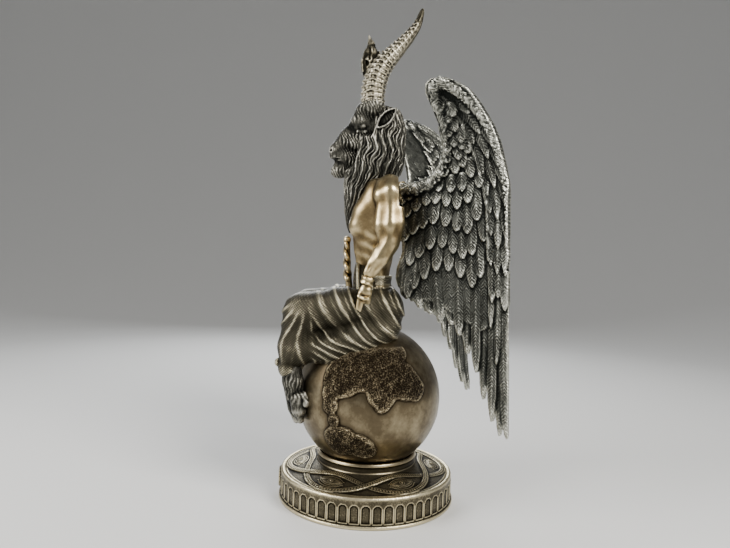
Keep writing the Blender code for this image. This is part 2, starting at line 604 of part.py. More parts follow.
def wing_lift(s, h):
    """How far the wing's face is bowed off its flat plane: a bowl below, and the wrist curled forward."""
    curl = 27 * (np.maximum(h, 0) / 62) ** 1.4 * (1 - 0.016 * np.maximum(s - 43, 0))
    return curl - 4 * np.sin(math.pi * np.clip(s / 95, 0, 1))


def bent(places, side):
    """Points of the flat (s, h, t) wing in the layout. The right wing's tips are set further in."""
    s, h, t = places.T
    if side < 0:
        s = s + through(h, *zip(*RIGHT_SWAY)) * step(s, 0, 24)
    off = wing_lift(s, h) + t
    x = WING_ROOT[0] + math.cos(SPREAD) * s + math.sin(SPREAD) * off
    y = WING_ROOT[1] + math.sin(SPREAD) * s - math.cos(SPREAD) * off
    return np.stack([side * x, y, WING_ROOT[2] + h], 1)


def along_line(points, share):
    """The place at a share of the way along a line of points, smooth between them."""
    points = np.array(points, float)
    index = np.arange(len(points))
    spot = share * (len(points) - 1)
    return np.array([float(through(spot, index, column)) for column in points.T])


def outline_distance(s, h, outline):
    """Distance to a closed outline, negative inside it."""
    outline = np.array(outline, float)
    nearest = np.full(np.broadcast(s, h).shape, FAR)
    inside = np.zeros(nearest.shape, bool)
    for a, b in zip(outline, np.roll(outline, -1, axis=0)):
        ds, dh = s - a[0], h - a[1]
        edge = b - a
        t = np.clip((ds * edge[0] + dh * edge[1]) / max(edge @ edge, 1e-9), 0, 1)
        nearest = np.minimum(nearest, np.hypot(ds - t * edge[0], dh - t * edge[1]))
        if a[1] != b[1]:
            crosses = ((a[1] > h) != (b[1] > h)) & (s < (b[0] - a[0]) * (h - a[1]) / (b[1] - a[1]) + a[0])
            inside ^= crosses
    return np.where(inside, -nearest, nearest)


def add_feather(clay, root, tip, width, base, rise, thick):
    """A blade from root to tip that lies on the face at height base and lifts by rise towards its tip."""
    root, tip = np.array(root, float), np.array(tip, float)
    length = np.linalg.norm(tip - root)
    along = (tip - root) / length
    reach = np.array([length + width, length + width, 0]) * 0.6 + (0, 0, thick + abs(rise) + 0.6)
    centre = np.array([*(root + tip) / 2, base])

    def blade(s, h, t):
        ds, dh = s - root[0], h - root[1]
        u = (ds * along[0] + dh * along[1]) / length
        v = dh * along[0] - ds * along[1]
        half = width / 2 * np.sqrt(np.clip(1.02 - np.clip(u, 0, 1) ** 5, 0.02, 1))
        side = np.abs(v) - half
        ends = np.maximum(-u, u - 1) * length
        flat = np.maximum(side, ends)
        height = t - (base + rise * np.clip(u, 0, 1) ** 1.2 - 0.10 * (v / width * 2) ** 2 * thick * 3)
        return np.maximum(flat * 0.8, np.abs(height) - thick)
    clay.press(blade, centre - reach, centre + reach, 0.35)


def add_flight_feathers(clay, face):
    for number in range(FLIGHT_COUNT):
        share = number / (FLIGHT_COUNT - 1)
        tip = along_line(FLIGHT_TIPS, share)
        root = along_line(FLIGHT_ROOTS, share)
        lift = 0.5 if number % 2 else 0.0
        add_feather(clay, root, tip, 9.0 - 1.2 * share, face * (0.5 + lift), face * 0.5, 0.9)


def add_coverts(clay, face):
    """Rows of broad feathers over the roots of the flight feathers, the higher rows on top."""
    for level, count, width, length in COVERT_ROWS:
        for number in range(count):
            share = (number + (0.5 if level > 0.5 and level < 0.7 else 0.0)) / count
            low = along_line(FLIGHT_ROOTS, share)
            high = along_line([(knot[0], knot[1]) for knot in ARM_LINE], 0.10 + 0.82 * share)
            root = low + (high - low) * level
            fall = low - high
            fall /= max(np.linalg.norm(fall), 1e-6)
            down = fall * 0.6 + np.array([0.12, -0.8])
            down /= np.linalg.norm(down)
            add_feather(clay, root, root + down * length, width, face * (1.3 + 0.9 * level), face * 0.9, 0.8)


def shape_wing(cell, side):
    clay = Clay((-14, -184, -9), (104, 80, 11), (cell, cell, min(cell, 1.0)))
    s, h = clay.lines[0][:, None], clay.lines[1][None, :]
    flats = outline_distance(s, h, INNER_EDGE + OUTER_EDGE)
    if side < 0:
        flats = np.minimum(flats, outline_distance(s, h, RIGHT_WEB))
    sheet = np.maximum(flats[:, :, None], np.abs(clay.lines[2][None, None, :]) - SHEET_HALF)
    clay.distance = sheet.astype(np.float32)
    for face in (1, -1):
        add_flight_feathers(clay, face)
        add_coverts(clay, face)
    clay.limb([(s, h, 0.8, r) for s, h, r in ARM_LINE], 1.5)
    s, h = s[:, :, None], h[:, :, None]
    root = np.where(h > -17, BOSS_END + 1000 * GAP - s, -FAR)
    clay.distance = np.maximum(clay.distance, root).astype(np.float32)
    return clay


def add_wing_bosses(clay):
    """Short stubs on the back that end flat, just short of the wings' roots."""
    x, y, z = clay.everywhere()
    region = (z > 225) & (z < 255) & (y > 25.5)
    for side in (1, -1):
        clay.limb([(side * 5, 20, 238, 8), (side * 12, 30, 240, 6.4)], 3)
        outward = (side * x - WING_ROOT[0]) * math.cos(SPREAD) + (y - WING_ROOT[1]) * math.sin(SPREAD)
        beyond = outward - BOSS_END
        near = region & (side * x > 0)
        clay.distance = np.where(near, np.maximum(clay.distance, beyond), clay.distance).astype(np.float32)


def clear_globe(clay):
    x, y, z = clay.everywhere()
    cx, cy, cz = laid_out(GLOBE_CENTRE)
    ball = (GLOBE_RADIUS - SEAT_DEPTH) / PART - np.sqrt((x - cx) ** 2 + (y - cy) ** 2 + (z - cz) ** 2)
    clay.distance = np.maximum(clay.distance, ball).astype(np.float32)


# Globe, with raised land given as longitude from +X, latitude and radius in degrees
LANDS = ((-23, 24, 15), (-6, 32, 17), (11, 30, 19), (27, 23, 15), (36, 17, 9), (9, 12, 11), (9, 4, 6),
         (22, 46, 14),
         (-31, 11, 5), (-29, 1, 4.5), (-26, -9, 4.5), (-22, -25, 13), (-9, -28, 11), (-1, -34, 8),
         (150, 35, 24), (178, 22, 16), (205, 40, 18), (165, -12, 11), (172, -26, 8), (238, 12, 15),
         (250, -8, 9),
         (100, -18, 13), (118, -22, 9), (-90, 5, 8))
LAND_SHORE = 1.6
SHORE_WAVES = ((5, 3.1, 1.5), (11, 4.7, 0.9), (23, 2.3, 0.45))
COVERED_ABOVE = 44.0
COVERED_BELOW = -44.0


def land_at(directions):
    """1 on the land and 0 on the sea, for unit directions from the globe's centre."""
    x, y, z = directions.T
    nearest = np.full(len(x), 90.0)
    for longitude, latitude, radius in LANDS:
        lon, lat = math.radians(longitude), math.radians(latitude)
        spot = np.array([math.cos(lat) * math.cos(lon), math.cos(lat) * math.sin(lon), math.sin(lat)])
        away = np.degrees(np.arccos(np.clip(directions @ spot, -1, 1))) - radius
        nearest = soft_min(nearest, away, 3.0)
    for pitch, turn, size in SHORE_WAVES:
        wave = np.sin(pitch * (x + 0.6 * z) + turn) * np.cos(pitch * (y - 0.7 * z) + 2 * turn)
        nearest = nearest + size * wave
    latitude = np.degrees(np.arcsin(np.clip(z, -1, 1)))
    above_collar = step(latitude, COVERED_BELOW - 5, COVERED_BELOW)
    under_cloth = step(latitude, COVERED_ABOVE, COVERED_ABOVE + 8)
    return step(-nearest, -LAND_SHORE / 2, LAND_SHORE / 2) * above_collar * (1 - under_cloth)


# Surface of a clay grid, as triangles
EVEN_TURNS = ((0, 1, 2, 3), (1, 0, 3, 2), (2, 0, 1, 3), (3, 0, 2, 1))
EVEN_PAIRS = ((0, 1, 2, 3), (0, 2, 3, 1), (0, 3, 1, 2), (2, 3, 0, 1), (3, 1, 0, 2), (1, 2, 0, 3))
CORNER_PATHS = ((0, 1, 2, 1), (1, 2, 0, 1), (2, 0, 1, 1), (0, 2, 1, -1), (2, 1, 0, -1), (1, 0, 2, -1))


def surface_of(clay):
    """Points and triangles of the zero level, from six tetrahedra in each cell of the grid."""
    grid = clay.distance
    shape = np.array(grid.shape)
    strides = np.array([shape[1] * shape[2], shape[2], 1])
    flat = grid.ravel()
    inside = grid < 0
    mixed = np.zeros(shape - 1, bool)
    base = inside[:-1, :-1, :-1]
    for dx in (0, 1):
        for dy in (0, 1):
            for dz in (0, 1):
                other = inside[dx:shape[0] - 1 + dx, dy:shape[1] - 1 + dy, dz:shape[2] - 1 + dz]
                mixed |= other != base
    cells = np.argwhere(mixed) @ strides
    edges = []
    for first, second, third, hand in CORNER_PATHS:
        corners = np.stack([cells, cells + strides[first], cells + strides[first] + strides[second],
                            cells + strides.sum()], 1)
        if hand < 0:
            corners = corners[:, [0, 2, 1, 3]]
        signs = flat[corners] < 0
        count = signs.sum(1)
        for i, j, k, m in EVEN_TURNS:
            for wanted, order in ((1, (j, k, m)), (3, (j, m, k))):
                rows = corners[(count == wanted) & (signs[:, i] == (wanted == 1))]
                edges.append(np.stack([rows[:, [i, end]] for end in order], 1))
        for i, j, k, m in EVEN_PAIRS:
            rows = corners[(count == 2) & signs[:, i] & signs[:, j]]
            edges.append(rows[:, [[i, k], [i, m], [j, m]]])
            edges.append(rows[:, [[i, k], [j, m], [j, k]]])
    edges = np.sort(np.concatenate(edges), axis=2)
    total = len(flat)
    keys, index = np.unique(edges[:, :, 0] * total + edges[:, :, 1], return_inverse=True)
    a, b = keys // total, keys % total
    share = np.clip(flat[a] / (flat[a] - flat[b]), 0.06, 0.94)[:, None]
    place_a = np.stack(np.unravel_index(a, grid.shape), 1)
    place_b = np.stack(np.unravel_index(b, grid.shape), 1)
    points = clay.low + clay.cell * (place_a + (place_b - place_a) * share)
    return points, index.reshape(-1, 3)


def mesh_object(name, points, faces, budget=None, look=None):
    mesh = bpy.data.meshes.new(name)
    corners = [tuple(map(float, point)) for point in points]
    mesh.from_pydata(corners, [], [tuple(map(int, face)) for face in faces])
    mesh.validate()
    mesh.shade_smooth()
    obj = bpy.data.objects.new(name, mesh)
    bpy.context.scene.collection.objects.link(obj)
    if budget:
        thin = obj.modifiers.new("Fewer triangles", "DECIMATE")
        thin.ratio = min(1.0, budget / len(faces))
        thin.use_collapse_triangulate = True
    if look:
        mesh.materials.append(look)
    return obj


def largest_body(points, faces):
    """Only the biggest of the separate pieces, by joining the labels of touching points."""
    label = np.arange(len(points))
    while True:
        lowest = label[faces].min(1)
        fresh = label.copy()
        for column in range(3):
            np.minimum.at(fresh, faces[:, column], lowest)
        fresh = fresh[fresh]
        if (fresh == label).all():
            break
        label = fresh
    values, counts = np.unique(label[faces[:, 0]], return_counts=True)
    kept = faces[label[faces[:, 0]] == values[counts.argmax()]]
    used, index = np.unique(kept, return_inverse=True)
    return points[used], index.reshape(-1, 3)


# Plinth
def turned(name, profile, segments, ring=False):
    """A turned piece from its (radius, height) profile, listed upwards along its outer side.

    A ring's profile closes on itself. Any other profile starts and ends on the axis.
    """
    rows = profile if ring else profile[1:-1]
    points, faces = [], []
    for radius, height in rows:
        for number in range(segments):
            angle = 2 * math.pi * (number + 0.5) / segments
            points.append((radius * math.cos(angle), radius * math.sin(angle), height))
    for row in range(len(rows) if ring else len(rows) - 1):
        low, high = row * segments, (row + 1) % len(rows) * segments
        for i in range(segments):
            j = (i + 1) % segments
            faces.append((low + i, low + j, high + j, high + i))
    if not ring:
        bottom, top = len(points), len(points) + 1
        last = (len(rows) - 1) * segments
        points += [(0, 0, profile[0][1]), (0, 0, profile[-1][1])]
        for i in range(segments):
            j = (i + 1) % segments
            faces.append((bottom, j, i))
            faces.append((top, last + i, last + j))
    return plain_object(name, points, faces)


def plain_object(name, points, faces):
    mesh = bpy.data.meshes.new(name)
    mesh.from_pydata(points, [], faces)
    obj = bpy.data.objects.new(name, mesh)
    bpy.context.scene.collection.objects.link(obj)
    return obj


def ground_height(radius):
    """The plinth's top rises gently from the rim to the foot of the collar."""
    share = (GROUND_RADIUS - radius) / (GROUND_RADIUS - COLLAR_RADIUS)
    return PLINTH_HEIGHT - GROUND_SINK + GROUND_RISE * min(max(share, 0.0), 1.0)


def plinth_profile():
    return [(0, 0), (PLINTH_RADIUS, 0), (PLINTH_RADIUS, FLANGE_HEIGHT),
            (WALL_RADIUS, FLANGE_HEIGHT + FLANGE_SLOPE),
            (WALL_RADIUS, PLINTH_HEIGHT - RIM_ROUND), (WALL_RADIUS - RIM_ROUND, PLINTH_HEIGHT),
            (GROUND_RADIUS, PLINTH_HEIGHT - GROUND_SINK), (COLLAR_RADIUS, COLLAR_FOOT),
            (RECESS_RADIUS, COLLAR_FOOT), (RECESS_RADIUS, RECESS_FLOOR), (0, RECESS_FLOOR)]


def collar_profile():
    foot = COLLAR_FOOT - COLLAR_SINK
    return [(COLLAR_INNER, foot), (COLLAR_RADIUS + COLLAR_FLARE, foot),
            (COLLAR_RADIUS, COLLAR_FOOT + COLLAR_ROUND),
            (COLLAR_RADIUS - COLLAR_ROUND, COLLAR_TOP - COLLAR_ROUND),
            (COLLAR_RADIUS - 2 * COLLAR_ROUND, COLLAR_TOP), (COLLAR_INNER, COLLAR_TOP)]


def arch_outline():
    half = ARCH_WIDTH / 2
    outline = [(-half, ARCH_SILL), (half, ARCH_SILL)]
    for number in range(5):
        angle = math.pi * number / 4
        outline.append((half * math.cos(angle), ARCH_TOP - half + half * math.sin(angle)))
    return outline


def arch_cutters():
    """Round-headed panels to cut from the rim wall, one to each flat of it."""
    points, faces = [], []
    outline = arch_outline()
    flat_radius = WALL_RADIUS * math.cos(math.pi / ARCH_COUNT)
    for number in range(ARCH_COUNT):
        angle = 2 * math.pi * number / ARCH_COUNT
        from_front = abs(angle - 1.5 * math.pi) * WALL_RADIUS
        if from_front < MEDALLION_RADIUS + ARCH_WIDTH / 2:
            continue
        start = len(points)
        for radius in (flat_radius - ARCH_DEPTH, flat_radius + ARCH_DEPTH):
            for across, height in outline:
                points.append((radius * math.cos(angle) - across * math.sin(angle),
                               radius * math.sin(angle) + across * math.cos(angle), height))
        count = len(outline)
        faces.append(tuple(start + i for i in reversed(range(count))))
        faces.append(tuple(start + count + i for i in range(count)))
        for i in range(count):
            j = (i + 1) % count
            faces.append((start + i, start + j, start + count + j, start + count + i))
    return plain_object("arch_cutters", points, faces)


def knot_strand(name, phase):
    """A strand that weaves in and out round the collar, with a ridged section."""
    section = ((-0.5, -0.6), (-0.34, 1.0), (0.34, 1.0), (0.5, -0.6))
    points, faces = [], []
    for number in range(KNOT_STEPS):
        angle = 2 * math.pi * number / KNOT_STEPS
        swing = KNOT_SWING * math.cos(EYE_COUNT / 2 * angle + phase)
        lift = KNOT_LIFT * math.sin(EYE_COUNT / 2 * angle + phase)
        for across, up in section:
            radius = KNOT_RADIUS + swing + across * STRAP_WIDTH
            height = ground_height(radius) + up * STRAP_HEIGHT + lift
            points.append((radius * math.cos(angle), radius * math.sin(angle), height))
    width = len(section)
    for number in range(KNOT_STEPS):
        near, far = number * width, (number + 1) % KNOT_STEPS * width
        for i in range(width):
            j = (i + 1) % width
            faces.append((near + i, near + j, far + j, far + i))
    return plain_object(name, points, faces)


def eye_mounds():
    """A lidded eye in each cell of the knotwork, from (share of its size, height) rows."""
    points, faces = [], []
    rows = ((1.0, -EYE_SINK), (0.78, EYE_HEIGHT), (0.34, EYE_HEIGHT), (0.26, 1.8 * EYE_HEIGHT))
    for number in range(EYE_COUNT):
        angle = 2 * math.pi * (number + 0.5) / EYE_COUNT
        start = len(points)
        for share, up in rows:
            for corner in range(EYE_CORNERS):
                turn = 2 * math.pi * corner / EYE_CORNERS
                shrink = share if share > 0.5 else share * EYE_WIDTH / EYE_LENGTH
                length = EYE_LENGTH / 2 * math.cos(turn) * shrink
                width = EYE_WIDTH / 2 * math.sin(turn) * abs(math.sin(turn)) ** 0.3 * share
                radius = KNOT_RADIUS + width
                spin = angle + length / KNOT_RADIUS
                points.append((radius * math.cos(spin), radius * math.sin(spin), ground_height(radius) + up))
        faces.append(tuple(start + i for i in range(EYE_CORNERS)))
        faces.append(tuple(start + EYE_CORNERS * (len(rows) - 1) + i for i in reversed(range(EYE_CORNERS))))
        for row in range(len(rows) - 1):
            for i in range(EYE_CORNERS):
                j = (i + 1) % EYE_CORNERS
                low, high = start + row * EYE_CORNERS, start + (row + 1) * EYE_CORNERS
                faces.append((low + i, high + i, high + j, low + j))
    return plain_object("eye_mounds", points, faces)


def medallion():
    """A dished disc on the front of the rim wall."""
    points, faces = [], []
    count = MEDALLION_CORNERS
    face = PLINTH_RADIUS + MEDALLION_RISE
    for depth, share in ((WALL_RADIUS - MEDALLION_SINK, 1.0), (PLINTH_RADIUS + MEDALLION_RISE / 2, 1.0),
                         (face, 0.82), (face - MEDALLION_DISH, 0.72)):
        for i in range(count):
            angle = 2 * math.pi * i / count
            points.append((MEDALLION_RADIUS * share * math.cos(angle), -depth,
                           MEDALLION_HEIGHT + MEDALLION_RADIUS * share * math.sin(angle)))
    faces.append(tuple(reversed(range(count))))
    faces.append(tuple(3 * count + i for i in range(count)))
    for ring in range(3):
        for i in range(count):
            j = (i + 1) % count
            faces.append((ring * count + i, ring * count + j, (ring + 1) * count + j, (ring + 1) * count + i))
    return plain_object("medallion_form", points, faces)


def combine(obj, other, operation):
    other.hide_render = True
    other.display_type = "WIRE"
    change = obj.modifiers.new(other.name, "BOOLEAN")
    change.object = other
    change.operation = operation


def surface_look(name, colour, metallic, roughness):
    look = bpy.data.materials.new(name)
    look.use_nodes = True
    shader = look.node_tree.nodes["Principled BSDF"]
    shader.inputs["Base Color"].default_value = (*colour, 1.0)
    shader.inputs["Metallic"].default_value = metallic
    shader.inputs["Roughness"].default_value = roughness
    return look


def build_plinth():
    plinth = turned("plinth", plinth_profile(), ARCH_COUNT)
    collar = turned("collar", collar_profile(), ARCH_COUNT, ring=True)
    combine(plinth, arch_cutters(), "DIFFERENCE")
    combine(plinth, collar, "UNION")
    combine(plinth, knot_strand("strand_one", -math.pi / 2), "UNION")
    combine(plinth, knot_strand("strand_two", math.pi / 2), "UNION")
    combine(plinth, eye_mounds(), "UNION")
    combine(plinth, medallion(), "UNION")
    plinth.data.materials.append(surface_look("olive bronze", (0.16, 0.135, 0.085), 0.85, 0.42))


def build_globe():
    globe_mesh = bpy.data.meshes.new("globe")
    ball = bmesh.new()
    bmesh.ops.create_icosphere(ball, subdivisions=6, radius=1.0)
    directions = np.array([vertex.co.normalized()[:] for vertex in ball.verts])
    raised = GLOBE_RADIUS + LAND_HEIGHT * land_at(directions)
    for vertex, radius in zip(ball.verts, raised):
        vertex.co = vertex.co.normalized() * float(radius)
    ball.to_mesh(globe_mesh)
    count = len(ball.faces)
    ball.free()
    globe = bpy.data.objects.new("globe", globe_mesh)
    globe.location = GLOBE_CENTRE
    bpy.context.scene.collection.objects.link(globe)
    thin = globe.modifiers.new("Fewer triangles", "DECIMATE")
    thin.ratio = GLOBE_TRIANGLES / count
    globe_mesh.materials.append(surface_look("globe bronze", (0.20, 0.145, 0.09), 0.9, 0.3))
    return globe


def seat_cutter(globe):
    """The globe's own form, a little larger, which hollows the seat and the backs of the hooves."""
    cutter = globe.copy()
    cutter.name = "seat_cutter"
    cutter.scale = [1 + SEAT_CLEARANCE / GLOBE_RADIUS] * 3
    bpy.context.scene.collection.objects.link(cutter)
    return cutter


def build_figure(globe):
    points, faces = largest_body(*surface_of(shape_figure(FIGURE_CELL)))
    look = surface_look("aged bronze", (0.30, 0.24, 0.16), 0.85, 0.38)
    figure = mesh_object("figure", stood_up(points), faces, FIGURE_TRIANGLES, look)
    combine(figure, seat_cutter(globe), "DIFFERENCE")


def build_wings():
    look = surface_look("silvered bronze", (0.26, 0.25, 0.22), 0.85, 0.42)
    for name, side in (("wing_left", 1), ("wing_right", -1)):
        points, faces = largest_body(*surface_of(shape_wing(WING_CELL, side)))
        if side < 0:
            faces = faces[:, ::-1]
        mesh_object(name, stood_up(bent(points, side)), faces, WING_TRIANGLES, look)


def main():
    for old in list(bpy.data.objects):
        bpy.data.objects.remove(old, do_unlink=True)
    build_plinth()
    build_figure(build_globe())
    build_wings()


main()
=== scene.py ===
"""A seated goat-headed figure with two wings, on a globe over a round plinth, dressed on its solid frame.

The frame's sizes are repeated here, because nothing but the frame is read. All lengths are in metres,
apart from the free forms, which are laid out in parts, of which the whole height has PARTS_HIGH.
"""

import itertools
import math

import bpy
import numpy as np
from mathutils import Matrix, Vector


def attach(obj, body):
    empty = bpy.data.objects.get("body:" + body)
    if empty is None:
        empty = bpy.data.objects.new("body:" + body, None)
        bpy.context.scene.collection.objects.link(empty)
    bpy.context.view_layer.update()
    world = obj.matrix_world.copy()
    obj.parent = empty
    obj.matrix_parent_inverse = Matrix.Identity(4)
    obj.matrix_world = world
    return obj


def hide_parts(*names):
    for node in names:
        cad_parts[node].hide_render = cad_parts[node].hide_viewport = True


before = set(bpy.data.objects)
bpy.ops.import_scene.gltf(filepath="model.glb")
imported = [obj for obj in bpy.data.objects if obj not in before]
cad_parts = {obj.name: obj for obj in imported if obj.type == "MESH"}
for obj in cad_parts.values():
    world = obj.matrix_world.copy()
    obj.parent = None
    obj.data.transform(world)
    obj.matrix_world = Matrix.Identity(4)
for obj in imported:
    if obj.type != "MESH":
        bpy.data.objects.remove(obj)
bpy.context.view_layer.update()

# Driving dimensions, in metres
HEIGHT = 0.380
PARTS_HIGH = 380
PART = HEIGHT / PARTS_HIGH
GAP = 0.0003

PLINTH_RADIUS = 0.0685
PLINTH_HEIGHT = 0.0218
FLANGE_WIDTH = 0.0013
FLANGE_HEIGHT = 0.0022
FLANGE_SLOPE = 0.0006
WALL_RADIUS = PLINTH_RADIUS - FLANGE_WIDTH
RIM_ROUND = 0.0018
RIM_WIDTH = 0.0032
GROUND_RADIUS = WALL_RADIUS - RIM_WIDTH
GROUND_SINK = 0.0008
GROUND_RISE = 0.0070
RECESS_DEPTH = 0.0013
RECESS_FLOOR = PLINTH_HEIGHT - RECESS_DEPTH

GLOBE_RADIUS = 0.0564
GLOBE_LIFT = 0.0021
GLOBE_CENTRE = (0.0, 0.0, RECESS_FLOOR + GLOBE_LIFT + GLOBE_RADIUS)
LAND_HEIGHT = 0.0009
SEAT_DEPTH = 0.0015

COLLAR_HEIGHT = 0.0074
COLLAR_WALL = 0.0023
COLLAR_FOOT = PLINTH_HEIGHT - GROUND_SINK + GROUND_RISE
COLLAR_TOP = COLLAR_FOOT + COLLAR_HEIGHT
COLLAR_INNER = math.sqrt((GLOBE_RADIUS + 2 * GAP) ** 2 - (GLOBE_CENTRE[2] - COLLAR_TOP) ** 2)
COLLAR_RADIUS = COLLAR_INNER + COLLAR_WALL
COLLAR_FLARE = 0.0008
COLLAR_ROUND = 0.0010
COLLAR_SINK = 0.0015

ARCH_COUNT = 52
ARCH_PIER = 0.0013
ARCH_SILL = 0.0034
ARCH_CROWN = 0.0052
ARCH_WIDTH = 2 * math.pi * WALL_RADIUS / ARCH_COUNT - ARCH_PIER
ARCH_TOP = PLINTH_HEIGHT - ARCH_CROWN

MEDALLION_RADIUS = 0.0078
MEDALLION_DISH = 0.0007
MEDALLION_HEIGHT = PLINTH_HEIGHT - 0.0105

STRAP_WIDTH = 0.0042
STRAP_HEIGHT = 0.0009
KNOT_CLEARANCE = 0.0008
KNOT_RADIUS = (GROUND_RADIUS + COLLAR_RADIUS + COLLAR_FLARE) / 2
KNOT_SWING = (GROUND_RADIUS - COLLAR_RADIUS - COLLAR_FLARE - STRAP_WIDTH) / 2 - KNOT_CLEARANCE
KNOT_LIFT = 0.0003
EYE_COUNT = 6
EYE_LENGTH = 0.0190
EYE_WIDTH = 0.0080

# The layout of the free forms: how far it leans back, and the height in it of the globe's top
LAYOUT_LEAN = math.radians(1.92)
LAYOUT_SEAT = 135.0
LAYOUT_SHIFT = (0.0, -0.2, (GLOBE_CENTRE[2] + GLOBE_RADIUS) / PART - LAYOUT_SEAT)

FAR = 60.0
BOTH = (-1, 1)


# Grid of distances in which the free forms are shaped
class Clay:
    def __init__(self, low, high, cell):
        self.cell = np.ones(3) * cell
        self.low = np.array(low, float)
        steps = np.ceil((np.array(high, float) - self.low) / self.cell).astype(int) + 1
        self.lines = [self.low[i] + self.cell[i] * np.arange(steps[i]) for i in range(3)]
        self.distance = np.full(steps, FAR, np.float32)

    def window(self, low, high):
        cuts = []
        for line, start, stop in zip(self.lines, low, high):
            cuts.append(slice(max(np.searchsorted(line, start) - 1, 0), np.searchsorted(line, stop) + 1))
        x = self.lines[0][cuts[0]][:, None, None]
        y = self.lines[1][cuts[1]][None, :, None]
        z = self.lines[2][cuts[2]][None, None, :]
        return tuple(cuts), (x, y, z)

    def press(self, shape, low, high, blend=1.0, cut=False):
        margin = blend + 2 * self.cell.max()
        cuts, place = self.window(np.array(low) - margin, np.array(high) + margin)
        old = self.distance[cuts]
        if old.size:
            new = shape(*place)
            self.distance[cuts] = -soft_min(-old, new, blend) if cut else soft_min(old, new, blend)

    def limb(self, knots, blend=1.0, cut=False, squeeze=1.0):
        """A chain of round tapers through (x, y, z, radius) knots, narrower in x by squeeze."""
        for start, stop in zip(knots, knots[1:]):
            a, b = np.array(start[:3], float), np.array(stop[:3], float)
            reach = max(start[3], stop[3])
            self.press(
                lambda x, y, z: taper(x, y, z, start, stop, squeeze),
                np.minimum(a, b) - reach, np.maximum(a, b) + reach, blend, cut)

    def ball(self, centre, radii, blend=1.0, cut=False):
        radii = np.ones(3) * radii
        centre = np.array(centre, float)
        self.press(
            lambda x, y, z: bulb((x - centre[0], y - centre[1], z - centre[2]), radii),
            centre - radii, centre + radii, blend, cut)

    def trim(self, beyond):
        """Leaves only what is below 0 in these distances too."""
        self.distance = np.maximum(self.distance, beyond).astype(np.float32)

    def swell(self, height):
        """Raises the surface by a height given for each place of the grid."""
        self.distance -= height.astype(np.float32)

    def everywhere(self):
        return (self.lines[0][:, None, None], self.lines[1][None, :, None], self.lines[2][None, None, :])

    def like(self):
        """An empty grid of the same size."""
        return Clay(self.low, [line[-1] - self.cell[0] / 2 for line in self.lines], self.cell)


def soft_min(a, b, blend):
    h = np.maximum(blend - np.abs(a - b), 0.0) / blend
    return np.minimum(a, b) - h * h * blend / 4


def taper(x, y, z, start, stop, squeeze):
    axis = np.array(stop[:3], float) - np.array(start[:3], float)
    dx, dy, dz = x - start[0], y - start[1], z - start[2]
    t = np.clip((dx * axis[0] + dy * axis[1] + dz * axis[2]) / max(axis @ axis, 1e-9), 0, 1)
    dx, dy, dz = (dx - t * axis[0]) * squeeze, dy - t * axis[1], dz - t * axis[2]
    return np.sqrt(dx * dx + dy * dy + dz * dz) - (start[3] + t * (stop[3] - start[3]))


def bulb(offset, radii):
    k0 = np.sqrt(sum((o / r) ** 2 for o, r in zip(offset, radii)))
    k1 = np.sqrt(sum((o / r ** 2) ** 2 for o, r in zip(offset, radii)))
    return k0 * (k0 - 1.0) / np.maximum(k1, 1e-6)


def through(at, knots, values):
    """A smooth curve through the values at the knots."""
    knots, values = np.array(knots, float), np.array(values, float)
    slopes = np.gradient(values, knots)
    at = np.clip(at, knots[0], knots[-1])
    i = np.clip(np.searchsorted(knots, at) - 1, 0, len(knots) - 2)
    span = knots[i + 1] - knots[i]
    t = (at - knots[i]) / span
    return ((2 * t ** 3 - 3 * t ** 2 + 1) * values[i] + (t ** 3 - 2 * t ** 2 + t) * span * slopes[i]
            + (3 * t ** 2 - 2 * t ** 3) * values[i + 1] + (t ** 3 - t ** 2) * span * slopes[i + 1])


def oval_at(level, ovals):
    """The middle, half width and half depth of an oval, from rows of heights and of each of these."""
    return [through(level, ovals[0], values) for values in ovals[1:]]


def press_all(clay, rows, sides=(1,)):
    """Limbs given as (blend, knots), and balls where the one knot has three radii; a blend below 0 cuts."""
    for side in sides:
        for blend, *knots in rows:
            knots = [(side * x, *rest) for x, *rest in knots]
            if len(knots[0]) > 4:
                clay.ball(knots[0][:3], knots[0][3:], abs(blend), blend < 0)
            else:
                clay.limb(knots, abs(blend), blend < 0)


def stood_up(points):
    """Layout points in their final place: the layout leans back a little and is turned upright here."""
    x, y, z = np.asarray(points, float).T
    turn = LAYOUT_LEAN
    back, up = y * math.cos(turn) - z * math.sin(turn), z * math.cos(turn) + y * math.sin(turn)
    return (np.stack([x, back, up], 1) + LAYOUT_SHIFT) * PART


def laid_out(place):
    """The layout's point for a final place in metres."""
    x, y, z = np.array(place) / PART - LAYOUT_SHIFT
    turn = LAYOUT_LEAN
    return x, y * math.cos(turn) + z * math.sin(turn), z * math.cos(turn) - y * math.sin(turn)


def step(value, low, high):
    t = np.clip((value - low) / (high - low), 0, 1)
    return t * t * (3 - 2 * t)


def unit(vectors):
    """Vectors brought to the length 1, one alone or in rows."""
    return vectors / np.linalg.norm(vectors, axis=-1, keepdims=True)


def placed(name, data):
    """A new object in the scene."""
    obj = bpy.data.objects.new(name, data)
    bpy.context.scene.collection.objects.link(obj)
    return obj


def hump(value, half):
    """1 where the value is 0, and falling off smoothly on both sides of it."""
    return np.exp(-(value / half) ** 2)


def turns(count):
    """Evenly spread angles, once round."""
    return 2 * math.pi * np.arange(count) / count


